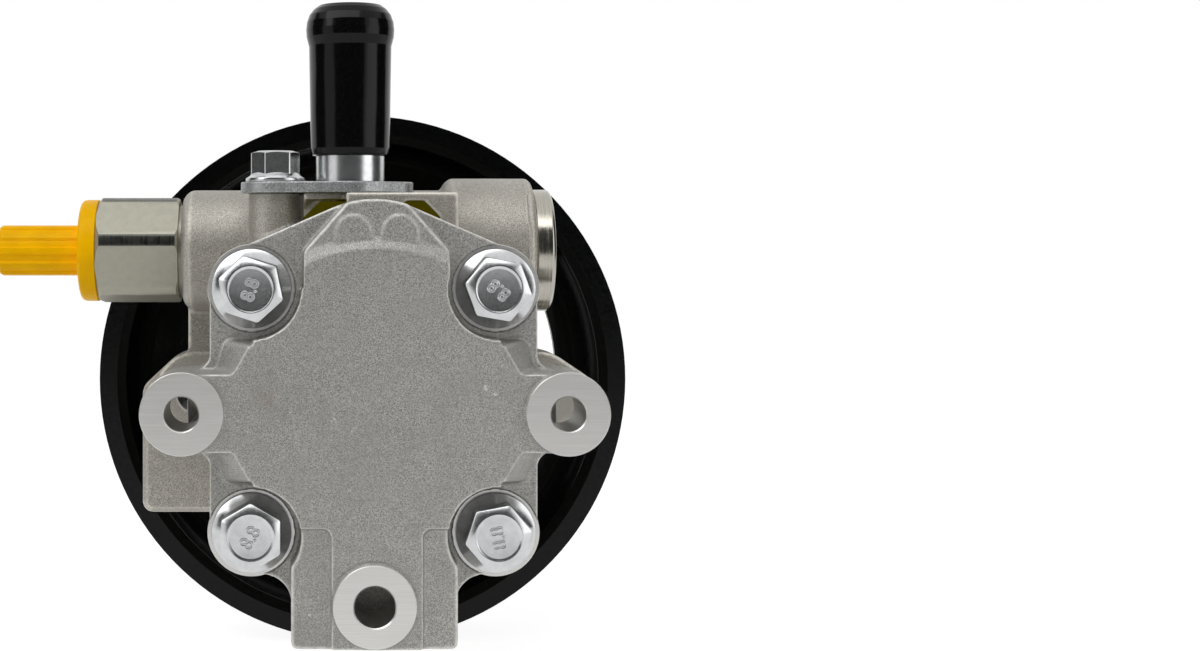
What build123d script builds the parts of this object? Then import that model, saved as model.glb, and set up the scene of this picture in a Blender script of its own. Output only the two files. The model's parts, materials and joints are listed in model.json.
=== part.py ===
from build123d import *
from math import acos, atan2, cos, hypot, pi, radians, sin
import os

# Power steering vane pump with a ribbed belt pulley, a suction pipe and a flow control valve.
# The shaft lies on the Y axis and runs from the rear cover to the pulley, X is to the right
# as seen from behind the cover, Z is up, and all sizes are in millimetres.
# The three rear mounting faces lie in the plane Y = 0, and the origin is on the shaft there.

# Clearances
RUNNING_GAP = 0.04
SEAT_GAP = 0.05
CAP_GAP = 0.06
SIDE_PLAY = 0.03
SCREW_HOLE_GAP = 0.35

# Mounting ears, rear set on the cover and front set on the body
EAR_ARM_REACH = 5.8
EAR_DROP = 42.3
REAR_EAR_RADIUS = 9.2
REAR_EAR_LENGTH = 18.7
EAR_ARM_FILLET = 3.4
SIDE_EAR_HOLE = 7.6
BOTTOM_EAR_HOLE = 9.1
HOLE_CHAMFER = 0.3
FRONT_EAR_RADIUS = 10.2
FRONT_EAR_Y = 51.6
FRONT_EAR_LENGTH = 14.0
FRONT_EAR_TIP_REACH = 8.4
FRONT_EAR_TIP_RADIUS = 5.5
LEFT_FRONT_HOLE = 9.4
RIGHT_FRONT_HOLE = 6.8
BOTTOM_FRONT_HOLE = 6.8

# Rear cover casting, levels measured along the shaft from the mounting faces
COVER_JOINT_Y = 20.4
COVER_FLANGE_Y = 8.3
PLATEAU_Y = 1.2
APEX_LEVEL_Y = 2.6
LEG_STRIP_Y = 2.2
APEX_Z = 47.3
APEX_RADIUS = 23.4
COVER_CORNER_RADIUS = 9.4
LEG_HALF_WIDTH = 18.4
LEG_TOE = 9.7
LEG_CORNER_RADIUS = 1.5
LEG_ROOT_FILLET = 6.4
LEG_BAND_HALF_WIDTH = 10.1
LEG_STRIP_TOP_Z = -25.3
LEG_STRIP_CORNER = 2.0
PANEL_HALF_WIDTH = 16.1
PANEL_CORNER_Z = 35.8
PANEL_CORNER_RADIUS = 2.2
PANEL_TOP_HALF_WIDTH = 5.9
PLATEAU_SHIFT = 0.5
PANEL_STEP_RADIUS = 36.2
PANEL_STEP_RUN = 3.0
ARM_SHOULDER_Z = 15.0
ARM_SHOULDER_INSET = 8.7
ARM_NECK_INSET = 5.1
ARM_NARROWING = 0.5
ARM_TOP_ROUNDING = 1.2
ARM_FOOT_SHOULDER_Z = 15.9
ARM_FOOT_SHOULDER_INSET = 2.5
ARM_FOOT_NECK_INSET = 1.1
ARM_FOOT_NARROWING = 0.2
ARM_FOOT_ROUNDING = 2.2
ARCH_SPREAD = 10.3
ARCH_WIDTH = 7.9
ARCH_TOP_Z = 43.7
ARCH_HEIGHT = 0.45

# Cover bolts, M8 with a flange
BOLT_SPREAD = 54.6
BOLT_THREAD = 8.0
BOLT_LENGTH = 30.0
BOLT_ACROSS_FLATS = 13.0
BOLT_FLANGE = 17.9
BOLT_HEAD_HEIGHT = 7.9
BOLT_SPOTFACE_RADIUS = 9.9
BOLT_SPOTFACE_DEPTH = 0.7
BOLT_RELIEF_RADIUS = 11.1
BOLT_TURNS = (2.0, 41.0, 24.0, 50.0)

# Vane cartridge
CAM_WALL = 6.0
CAM_WIDTH = 17.0
CAM_MINOR_RADIUS = 20.0
CAM_LIFT = 1.6
ROTOR_GAP = 0.3
VANE_COUNT = 10
VANE_THICKNESS = 1.4
SLOT_FLOOR_REACH = 3.1
VANE_TIP_GAP = 0.1
SLOT_ROOT_RADIUS = 1.1
SPLINE_TEETH = 12
SPLINE_STEP = 1.0
SPLINE_TOOTH_HEIGHT = 0.9
SPLINE_TOOTH_WIDTH = 1.9
CLIP_REACH = 1.5
CLIP_THICKNESS = 1.2
CLIP_RECESS = 1.5
PIN_DIAMETER = 4.0
PIN_INSET = 2.8
PIN_DEPTH = 5.0
PIN_PLATE_DEPTH = 1.5
SIDE_PLATE_WIDTH = 6.0
PORT_REACH = 0.1
PORT_ARC_ANGLE = 48.0
PORT_WIDTH = 3.6
CHAMBER_WIDTH = 4.0
SUCTION_PORT_WIDTH = 10.2
PRESSURE_DRILL_X = -22.0
PRESSURE_DRILL_RADIUS = 2.0
BYPASS_DRILL_X = -7.5
BYPASS_DRILL_RADIUS = 2.2

# Shaft, bushes and seal
JOURNAL_RADIUS = 8.5
REAR_JOURNAL_STEP = 0.3
REAR_JOURNAL_LENGTH = 9.0
SHAFT_FRONT_STEP = 0.5
SHAFT_FRONT_INSET = 1.0
SHAFT_CHAMFER = 0.8
REAR_BUSH_WALL = 1.6
FRONT_BUSH_WALL = 1.5
FRONT_BUSH_LENGTH = 17.0
SEAL_HEIGHT = 5.5
SEAL_LENGTH = 8.0
SEAL_WALL = 1.6

# Pump body casting
BODY_FLANGE_WIDTH = 9.5
DRUM_WALL = 8.0
DRUM_END_Y = 59.0
NOSE_WALL = 9.5
NOSE_START_Y = 67.0
NOSE_END_Y = 86.0
BOLT_LUG_RADIUS = 9.0
BOLT_LUG_END_Y = 49.0
SUCTION_GALLERY_DEPTH = 2.6
SUCTION_GALLERY_WIDTH = 12.8
FLANK_LEFT_X = -44.6
FLANK_BOTTOM_Z = 5.0
FLANK_SETBACK = 1.0
FLANK_DEPTH = 10.4
BLOCK_REACH = 13.5
BLOCK_BOTTOM_Z = -30.0
BLOCK_SETBACK = 0.8
BLOCK_DEPTH = 13.0
BLOCK_CORNER = 2.6
BLOCK_CHAMFER = 1.2
BLOCK_SHOULDER_Z = -0.4
BLOCK_SHOULDER_RADIUS = 4.0
BLOCK_RIGHT_X = -30.0

# Valve housing across the top of the body
VALVE_Y = 50.4
VALVE_Z = 35.35
VALVE_BORE_RADIUS = 8.0
HOUSING_LEFT_X = -45.4
HOUSING_LEFT_WALL = 6.85
HOUSING_STEP_X = 18.2
HOUSING_RIGHT_X = 40.0
HOUSING_RIGHT_WALL = 9.75
HOUSING_EDGE = 2.2

# Outlet union and its transport plug
UNION_ACROSS_FLATS = 24.2
UNION_TURNED_DIAMETER = 26.4
UNION_HEX_TURN = 9.0
UNION_HEX_LENGTH = 20.0
UNION_NECK = 0.8
UNION_THREAD_STEP = 1.0
UNION_THREAD_LENGTH = 18.0
UNION_PORT_RADIUS = 6.0
UNION_PORT_DEPTH = 14.0
UNION_ORIFICE_RADIUS = 2.2
UNION_CHAMFER = 1.1
PLUG_FLANGE_RADIUS = 12.5
PLUG_FLANGE_THICKNESS = 4.3
PLUG_STEM_RADIUS = 6.35
PLUG_STEM_LENGTH = 20.2
PLUG_RIB_COUNT = 16
PLUG_RIB_DEPTH = 0.6
PLUG_SPIGOT_LENGTH = 10.0

# End plug, spool, relief valve and springs
END_PLUG_RIM = 4.0
END_PLUG_WIDTH = 4.8
END_PLUG_THREAD_STEP = 3.0
END_PLUG_THREAD_LENGTH = 9.0
END_PLUG_SOCKET = 10.0
END_PLUG_SOCKET_DEPTH = 4.0
SPOOL_NOSE_LENGTH = 14.0
SPOOL_NOSE_RADIUS = 4.0
SPOOL_NOSE_SLOT = 2.0
SPOOL_REAR_LAND = 6.1
SPOOL_GROOVE_WIDTH = 9.4
SPOOL_GROOVE_DEPTH = 2.0
SPOOL_FRONT_LAND = 9.0
VALVE_SPRING_ROOM = 1.8
VALVE_SPRING_WIRE = 0.85
VALVE_SPRING_TURNS = 6.0
RELIEF_BORE_RADIUS = 3.4
RELIEF_BORE_DEPTH = 20.0
RELIEF_SEAT_LENGTH = 5.0
RELIEF_SEAT_HOLE_RADIUS = 1.2
RELIEF_BALL_RADIUS = 1.9
RELIEF_GUIDE_ROOM = 0.4
RELIEF_GUIDE_LENGTH = 4.5
RELIEF_SPRING_ROOM = 1.0
RELIEF_SPRING_WIRE = 0.4
RELIEF_SPRING_TURNS = 5.0

# Suction inlet: pad, pipe, clamp plate, bolt and transport cap
PIPE_X = -4.7
PIPE_Y = 32.0
PAD_TOP_Z = 49.1
PAD_RIGHT_X = 20.1
PAD_FRONT_Y = 45.0
PAD_LIP = 2.0
PAD_STEP_X = -6.0
PAD_STEP_DEPTH = 3.0
POCKET_TOP_HALF_WIDTH = 12.0
POCKET_SLANT = 4.3
POCKET_DEPTH = 5.0
PIPE_BOLT_REACH = 17.7
COLUMN_RADIUS = 6.4
COLUMN_GROOVE = 0.3
PLATE_THICKNESS = 2.6
PLATE_HALF_DEPTH = 11.2
PLATE_BOLT_END_RADIUS = 8.2
PLATE_FAR_REACH = 14.9
PLATE_FAR_RADIUS = 6.0
PIPE_COLLAR_HEIGHT = 0.75
PIPE_COLLAR_LENGTH = 6.3
PIPE_TUBE_RADIUS = 7.4
PIPE_BEAD_HEIGHT = 0.6
PIPE_BEAD_DROP = 4.4
PIPE_BEAD_HALF_WIDTH = 1.8
PIPE_TOP_Z = 92.0
PIPE_WALL = 1.4
SPIGOT_STEP = 0.4
SPIGOT_LENGTH = 5.2
SUCTION_DRILL_RADIUS = 4.5
CAP_TOP_ROOM = 0.7
CAP_MOUTH_WALL = 1.24
CAP_SIDE_WALL = 1.69
CAP_BEAD_WALL = 2.39
CAP_BEAD_HALF_WIDTH = 3.2
CAP_TOP_WALL = 2.0
CAP_TOP_RADIUS = 3.6
PIPE_BOLT_THREAD = 6.0
PIPE_BOLT_LENGTH = 16.0
PIPE_BOLT_ACROSS_FLATS = 10.3
PIPE_BOLT_FLANGE = 14.2
PIPE_BOLT_HEAD_HEIGHT = 7.4
PIPE_BOLT_TURN = 3.0

# Round seal rings
COVER_SEAL_REACH = 4.0
COVER_SEAL_SECTION = 1.8
PLATE_SEAL_SECTION = 2.2
UNION_SEAL_SECTION = 1.6
END_SEAL_SECTION = 2.0
SUCTION_SEAL_SECTION = 1.6

# Pulley with six belt ribs
PULLEY_GAP = 6.4
LIP_HEIGHT = 1.8
LIP_WIDTH = 1.7
BAND_RADIUS = 69.6
RIB_COUNT = 6
RIB_PITCH = 3.56
GROOVE_DEPTH = 3.1
GROOVE_HALF_WIDTH = 1.25
RIM_WALL = 2.2
RIM_FLARE = 2.2
WEB_SETBACK = 20.0
WEB_THICKNESS = 3.0
WEB_SHOULDER_INSET = 5.7
WEB_SHOULDER_RUN = 5.0
WINDOW_COUNT = 3
WINDOW_RIM_EDGE = 1.6
WINDOW_HUB_EDGE = 10.0
WINDOW_HALF_ANGLE = 29.0
WINDOW_CORNER = 4.5
HUB_WALL = 6.5
HUB_SETBACK = 1.1
HUB_PROUD = 3.2
HUB_FLANGE_WIDTH = 8.5
HUB_FLANGE_THICKNESS = 3.0
PULLER_GROOVE_DEPTH = 1.8
HUB_RIM_WIDTH = 1.4

# Places worked out from the sizes above
EAR_SPREAD = BOLT_SPREAD + 2 * (COVER_CORNER_RADIUS + EAR_ARM_REACH)
COVER_HALF_WIDTH = BOLT_SPREAD / 2 + COVER_CORNER_RADIUS
BOLT_SIGNS = ((-1, 1), (1, 1), (1, -1), (-1, -1))
BOLT_PLACES = [(sx * BOLT_SPREAD / 2, sz * BOLT_SPREAD / 2) for sx, sz in BOLT_SIGNS]
EAR_PLACES = [(-EAR_SPREAD / 2, 0), (EAR_SPREAD / 2, 0), (0, -EAR_DROP)]
REAR_EAR_HOLES = [SIDE_EAR_HOLE, SIDE_EAR_HOLE, BOTTOM_EAR_HOLE]
FRONT_EAR_HOLES = [LEFT_FRONT_HOLE, RIGHT_FRONT_HOLE, BOTTOM_FRONT_HOLE]
LEG_BOTTOM_Z = -EAR_DROP - LEG_TOE
BOLT_SEAT_Y = COVER_FLANGE_Y + BOLT_SPOTFACE_DEPTH
BOLT_END_Y = BOLT_SEAT_Y + BOLT_LENGTH

CARTRIDGE_RADIUS = CAM_MINOR_RADIUS + CAM_WALL
CAM_MAJOR_RADIUS = CAM_MINOR_RADIUS + CAM_LIFT
ROTOR_RADIUS = CAM_MINOR_RADIUS - ROTOR_GAP
PORT_ARC_RADIUS = ROTOR_RADIUS + PORT_REACH
PIN_RADIUS_PLACE = CARTRIDGE_RADIUS - PIN_INSET
COVER_SEAL_RADIUS = CARTRIDGE_RADIUS + COVER_SEAL_REACH
DRUM_RADIUS = CARTRIDGE_RADIUS + DRUM_WALL
CAM_END_Y = COVER_JOINT_Y + CAM_WIDTH
CHAMBER_Y = CAM_END_Y + SIDE_PLATE_WIDTH
BODY_WALL_Y = CHAMBER_Y + CHAMBER_WIDTH

SPLINE_TIP_RADIUS = JOURNAL_RADIUS - SPLINE_STEP
SPLINE_ROOT_RADIUS = SPLINE_TIP_RADIUS - SPLINE_TOOTH_HEIGHT
REAR_JOURNAL_RADIUS = SPLINE_ROOT_RADIUS - REAR_JOURNAL_STEP
SHAFT_FRONT_RADIUS = JOURNAL_RADIUS - SHAFT_FRONT_STEP
CLIP_RADIUS = SPLINE_TIP_RADIUS + CLIP_REACH
VANE_HEIGHT = ROTOR_RADIUS - CLIP_RADIUS - SLOT_FLOOR_REACH
SEAL_OUTER_RADIUS = JOURNAL_RADIUS + SEAL_HEIGHT
NOSE_RADIUS = SEAL_OUTER_RADIUS + NOSE_WALL
FRONT_BUSH_END_Y = BODY_WALL_Y + FRONT_BUSH_LENGTH
SEAL_END_Y = NOSE_END_Y - 1.0
JOURNAL_START_Y = CAM_END_Y + SIDE_PLAY

FRONT_EAR_TIP_X = EAR_SPREAD / 2 + FRONT_EAR_TIP_REACH
FLANK_REAR_Y = FRONT_EAR_Y + FLANK_SETBACK
BLOCK_REAR_Y = FRONT_EAR_Y + BLOCK_SETBACK
BLOCK_LEFT_X = -EAR_SPREAD / 2 - BLOCK_REACH

HOUSING_LEFT_RADIUS = VALVE_BORE_RADIUS + HOUSING_LEFT_WALL
HOUSING_RIGHT_RADIUS = VALVE_BORE_RADIUS + HOUSING_RIGHT_WALL
UNION_THREAD_RADIUS = VALVE_BORE_RADIUS + UNION_THREAD_STEP
UNION_END_X = HOUSING_LEFT_X - UNION_NECK
UNION_OUTER_X = UNION_END_X - UNION_HEX_LENGTH
UNION_INNER_X = HOUSING_LEFT_X + UNION_THREAD_LENGTH
END_PLUG_THREAD_RADIUS = VALVE_BORE_RADIUS + END_PLUG_THREAD_STEP
END_PLUG_RADIUS = END_PLUG_THREAD_RADIUS + END_PLUG_RIM
END_PLUG_INNER_X = HOUSING_RIGHT_X - END_PLUG_THREAD_LENGTH
SPOOL_LEFT_X = UNION_INNER_X + SEAT_GAP
SPOOL_LENGTH = SPOOL_NOSE_LENGTH + SPOOL_REAR_LAND + SPOOL_GROOVE_WIDTH + SPOOL_FRONT_LAND
SPOOL_RIGHT_X = SPOOL_LEFT_X + SPOOL_LENGTH
VALVE_SPRING_RADIUS = VALVE_BORE_RADIUS - VALVE_SPRING_ROOM
RELIEF_GUIDE_RADIUS = RELIEF_BORE_RADIUS - RELIEF_GUIDE_ROOM
RELIEF_SPRING_RADIUS = RELIEF_BORE_RADIUS - RELIEF_SPRING_ROOM

COLUMN_X = PIPE_X - PIPE_BOLT_REACH
PLATE_FAR_X = PIPE_X + PLATE_FAR_REACH
PLATE_TOP_Z = PAD_TOP_Z + PLATE_THICKNESS
PIPE_COLLAR_TOP_Z = PLATE_TOP_Z + PIPE_COLLAR_LENGTH
PIPE_COLLAR_RADIUS = PIPE_TUBE_RADIUS + PIPE_COLLAR_HEIGHT
PIPE_BEAD_RADIUS = PIPE_TUBE_RADIUS + PIPE_BEAD_HEIGHT
PIPE_BEAD_Z = PIPE_TOP_Z - PIPE_BEAD_DROP
PIPE_BORE_RADIUS = PIPE_TUBE_RADIUS - PIPE_WALL
SPIGOT_RADIUS = PIPE_TUBE_RADIUS - SPIGOT_STEP
SPIGOT_BOTTOM_Z = PAD_TOP_Z - SPIGOT_LENGTH
CAP_BORE_RADIUS = PIPE_BEAD_RADIUS + CAP_GAP
CAP_MOUTH_RADIUS = CAP_BORE_RADIUS + CAP_MOUTH_WALL
CAP_SIDE_RADIUS = CAP_BORE_RADIUS + CAP_SIDE_WALL
CAP_BEAD_RADIUS = CAP_BORE_RADIUS + CAP_BEAD_WALL
CAP_BOTTOM_Z = PIPE_COLLAR_TOP_Z + CAP_GAP
CAP_TOP_Z = PIPE_TOP_Z + CAP_TOP_ROOM + CAP_TOP_WALL

LIP_RADIUS = BAND_RADIUS + LIP_HEIGHT
RIM_INNER_RADIUS = BAND_RADIUS - GROOVE_DEPTH - RIM_WALL
HUB_RADIUS = SHAFT_FRONT_RADIUS + HUB_WALL
HUB_FLANGE_RADIUS = HUB_RADIUS + HUB_FLANGE_WIDTH
WEB_SHOULDER_RADIUS = RIM_INNER_RADIUS - WEB_SHOULDER_INSET
WINDOW_OUTER_RADIUS = WEB_SHOULDER_RADIUS - WINDOW_RIM_EDGE
WINDOW_INNER_RADIUS = HUB_FLANGE_RADIUS + WINDOW_HUB_EDGE
PULLEY_REAR_Y = NOSE_END_Y + PULLEY_GAP
PULLEY_FRONT_Y = PULLEY_REAR_Y + 2 * LIP_WIDTH + LIP_HEIGHT + RIB_COUNT * RIB_PITCH
WEB_REAR_Y = PULLEY_REAR_Y + WEB_SETBACK
WEB_FRONT_Y = WEB_REAR_Y + WEB_THICKNESS
HUB_REAR_Y = PULLEY_REAR_Y + HUB_SETBACK
HUB_FRONT_Y = WEB_FRONT_Y + HUB_PROUD
SHAFT_FRONT_Y = HUB_FRONT_Y - SHAFT_FRONT_INSET

# Lines that pieces turn or slide on, each with its own X along the line
SHAFT_LINE = Plane(origin=(0, 0, 0), x_dir=(0, 1, 0), z_dir=(1, 0, 0))
VALVE_LINE = Plane(origin=(0, VALVE_Y, VALVE_Z), x_dir=(1, 0, 0), z_dir=(0, 1, 0))
PIPE_LINE = Plane(origin=(PIPE_X, PIPE_Y, 0), x_dir=(0, 0, 1), z_dir=(1, 0, 0))
COLUMN_LINE = Plane(origin=(COLUMN_X, PIPE_Y, 0), x_dir=(0, 0, 1), z_dir=(1, 0, 0))


def turned(line, *points):
    """Solid of revolution from (along, radius) points on one of the lines."""
    profile = make_face(Polyline(*points, close=True))
    return revolve(line * profile, Axis(line.origin, line.x_dir))


def rod(line, start, end, radius):
    """Plain cylinder along a line."""
    return turned(line, (start, 0), (end, 0), (end, radius), (start, radius))


def ring(line, start, end, outer, inner):
    """Plain ring along a line."""
    return turned(line, (start, inner), (end, inner), (end, outer), (start, outer))


def seal_ring(line, along, middle_radius, section):
    """Rubber ring across a line, its round section pressed to eight flats."""
    reach = section / 2 / cos(pi / 8)
    corners = []
    for i in range(8):
        angle = (i + 0.5) * pi / 4
        corners.append((along + reach * cos(angle), middle_radius + reach * sin(angle)))
    return turned(line, *corners)


def across(y):
    """Plane across the shaft, seen from behind: its X is X and its Y is Z."""
    return Plane(origin=(0, y, 0), x_dir=(1, 0, 0), z_dir=(0, -1, 0))


def slab(face, rear_y, front_y):
    """Solid between two planes across the shaft."""
    return extrude(across(front_y) * face, front_y - rear_y)


def outline_of_circles(*circles):
    """Face inside the outer tangents of circles (x, z, radius) given anticlockwise."""
    normals = []
    for (xa, za, ra), (xb, zb, rb) in zip(circles, circles[1:] + circles[:1]):
        heading = atan2(zb - za, xb - xa)
        normals.append(heading - acos((ra - rb) / hypot(xb - xa, zb - za)))
    edges = []
    for i, (x, z, r) in enumerate(circles):
        arriving, leaving = normals[i - 1], normals[i]
        turn = (leaving - arriving) % (2 * pi)
        if turn > 1e-6:
            edges.append(CenterArc((x, z), r, arriving * 180 / pi, turn * 180 / pi))
        xn, zn, rn = circles[(i + 1) % len(circles)]
        edges.append(Line(
            (x + r * cos(leaving), z + r * sin(leaving)),
            (xn + rn * cos(leaving), zn + rn * sin(leaving)),
        ))
    return make_face(edges)


def block(x_low, x_high, z_low, z_high):
    """Rectangle in the plane across the shaft."""
    return Pos((x_low + x_high) / 2, (z_low + z_high) / 2) * Rectangle(x_high - x_low, z_high - z_low)


def round_corners(face, places, radius):
    """Fillets the vertices of a face that lie nearest to the given places."""
    corners = []
    for x, z in places:
        corners.append(face.vertices().sort_by(lambda v: (v.X - x) ** 2 + (v.Y - z) ** 2)[0])
    return fillet(corners, radius)


def flange_bolt(across_flats, flange, head_height, thread, length, turn):
    """Flange bolt standing on its seat at Z = 0, with its head up."""
    top_radius = across_flats * 0.415
    skirt = head_height * 0.36
    corner = across_flats / 2 / cos(pi / 6)
    hexagon = Rot(0, 0, turn) * RegularPolygon(across_flats / 2, 6, major_radius=False)
    head = extrude(hexagon, head_height)
    head &= Rot(0, -90, 0) * turned(
        Plane.XY,
        (0, 0),
        (head_height, 0),
        (head_height, top_radius),
        (head_height - (corner - top_radius) * 0.55, corner),
        (0, corner),
    )
    skirt_solid = Rot(0, -90, 0) * turned(
        Plane.XY,
        (0, 0),
        (skirt, 0),
        (skirt, across_flats / 2),
        (skirt * 0.5, flange / 2 - 0.35),
        (skirt * 0.33, flange / 2),
        (0.25, flange / 2),
        (0, flange / 2 - 0.3),
    )
    shank = Pos(0, 0, -length / 2) * Cylinder(thread / 2, length)
    shank = chamfer(shank.edges().sort_by(Axis.Z)[0], thread * 0.1)
    return head + skirt_solid + shank


def cover_outline():
    """Outline shared by the cover and the body flange: an apex and four bolt corners."""
    b = BOLT_SPREAD / 2
    r = COVER_CORNER_RADIUS
    return outline_of_circles(
        (0, APEX_Z - APEX_RADIUS, APEX_RADIUS),
        (-b, b, r),
        (-b, -b, r),
        (b, -b, r),
        (b, b, r),
    )


def window_shape():
    """One kidney window of the pulley web, centred on X."""
    reach = 2 * WINDOW_OUTER_RADIUS
    half = radians(WINDOW_HALF_ANGLE)
    wedge = make_face(Polyline(
        (0, 0),
        (reach * cos(half), -reach * sin(half)),
        (reach * cos(half), reach * sin(half)),
        close=True,
    ))
    face = (Circle(WINDOW_OUTER_RADIUS) - Circle(WINDOW_INNER_RADIUS)) & wedge
    return fillet(face.vertices(), WINDOW_CORNER)


def port_pair(middle, radius, width):
    """Two opposite kidney ports about the shaft, the first centred at an angle above X."""
    ports = Sketch()
    for angle in (middle, middle + 180):
        arc = CenterArc((0, 0), radius, angle - PORT_ARC_ANGLE / 2, PORT_ARC_ANGLE)
        ports += SlotArc(arc, width)
    return ports


def pin_holes():
    """Sections of the two locating pins."""
    pins = Sketch()
    for s in (-1, 1):
        pins += Pos(s * PIN_RADIUS_PLACE, 0) * Circle(PIN_DIAMETER / 2)
    return pins


def spline_shape(extra=0.0):
    """Toothed section that carries the rotor on the shaft."""
    shape = Circle(SPLINE_ROOT_RADIUS + extra)
    half = SPLINE_TOOTH_WIDTH / 2 + extra
    tooth = block(0, SPLINE_TIP_RADIUS + extra, -half, half)
    for i in range(SPLINE_TEETH):
        shape += Rot(0, 0, i * 360 / SPLINE_TEETH) * tooth
    return shape


def coil(start, end, radius, wire, turns):
    """Spring on the valve line between two faces, with six-sided wire."""
    height = end - start - 2 * wire
    centre = (start + wire, VALVE_Y, VALVE_Z)
    path = Helix(height / turns, height, radius, center=centre, direction=(1, 0, 0))
    section = Plane(origin=path @ 0, z_dir=path % 0) * RegularPolygon(wire, 6)
    return sweep(section, path=path, is_frenet=True)


def make_rear_cover():
    """Cast cover with three mounting ears, a raised plateau and the sunk bolt seats."""
    cover = slab(flange_outline(), COVER_FLANGE_Y, COVER_JOINT_Y)
    cover += make_plateau()
    for x, z in EAR_PLACES:
        cover += slab(Pos(x, z) * Circle(REAR_EAR_RADIUS), 0, REAR_EAR_LENGTH)
    for x, z in BOLT_PLACES:
        spot = Pos(x, z)
        cover -= slab(spot * Circle(BOLT_SPOTFACE_RADIUS), 0, BOLT_SEAT_Y)
        cover -= slab(spot * Circle(BOLT_THREAD / 2 + SCREW_HOLE_GAP), 0, COVER_JOINT_Y)
    for (x, z), hole in zip(EAR_PLACES, REAR_EAR_HOLES):
        line = Plane(origin=(x, 0, z), x_dir=(0, 1, 0), z_dir=(1, 0, 0))
        wall = hole / 2
        mouth = wall + HOLE_CHAMFER
        cover -= turned(
            line,
            (0, 0),
            (REAR_EAR_LENGTH, 0),
            (REAR_EAR_LENGTH, mouth),
            (REAR_EAR_LENGTH - HOLE_CHAMFER, wall),
            (HOLE_CHAMFER, wall),
            (0, mouth),
        )
    bush_radius = REAR_JOURNAL_RADIUS + RUNNING_GAP + REAR_BUSH_WALL
    cover -= rod(SHAFT_LINE, COVER_JOINT_Y - REAR_JOURNAL_LENGTH - 1, COVER_JOINT_Y, bush_radius)
    cover -= ring(
        SHAFT_LINE,
        COVER_JOINT_Y - COVER_SEAL_SECTION,
        COVER_JOINT_Y,
        COVER_SEAL_RADIUS + COVER_SEAL_SECTION * 0.6,
        COVER_SEAL_RADIUS - COVER_SEAL_SECTION * 0.6,
    )
    middle = PORT_ARC_RADIUS + (SUCTION_PORT_WIDTH - PORT_WIDTH) / 2
    cover -= slab(port_pair(45, middle, SUCTION_PORT_WIDTH), COVER_JOINT_Y - PIN_DEPTH, COVER_JOINT_Y)
    cover -= slab(pin_holes(), COVER_JOINT_Y - PIN_DEPTH, COVER_JOINT_Y)
    return cover


def flange_outline():
    """Outline of the cover at its joint: the common outline, the ear arms and the leg."""
    side_x = EAR_SPREAD / 2
    outline = cover_outline()
    outline += block(-LEG_HALF_WIDTH, LEG_HALF_WIDTH, LEG_BOTTOM_Z, 0)
    outline += block(-side_x, side_x, -REAR_EAR_RADIUS, REAR_EAR_RADIUS)
    arm_roots = [(sx * COVER_HALF_WIDTH, sz * REAR_EAR_RADIUS) for sx in (-1, 1) for sz in (-1, 1)]
    outline = round_corners(outline, arm_roots, EAR_ARM_FILLET)
    leg_roots = [(s * LEG_HALF_WIDTH, -COVER_HALF_WIDTH) for s in (-1, 1)]
    outline = round_corners(outline, leg_roots, LEG_ROOT_FILLET)
    leg_corners = [(s * LEG_HALF_WIDTH, LEG_BOTTOM_Z) for s in (-1, 1)]
    return round_corners(outline, leg_corners, LEG_CORNER_RADIUS)


def arms_outline(shoulder, neck, rounding):
    """Both ear arms in one face, from the corners of the upper right one."""
    side_x = EAR_SPREAD / 2
    quarter = [shoulder, neck, (side_x, neck[1])]
    points = quarter + [(x, -z) for x, z in reversed(quarter)]
    points += [(-x, -z) for x, z in quarter] + [(-x, z) for x, z in reversed(quarter)]
    face = make_face(Polyline(*points, close=True))
    corners = [(sx * x, sz * z) for x, z in (shoulder, neck) for sx in (-1, 1) for sz in (-1, 1)]
    return round_corners(face, corners, rounding)


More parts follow.
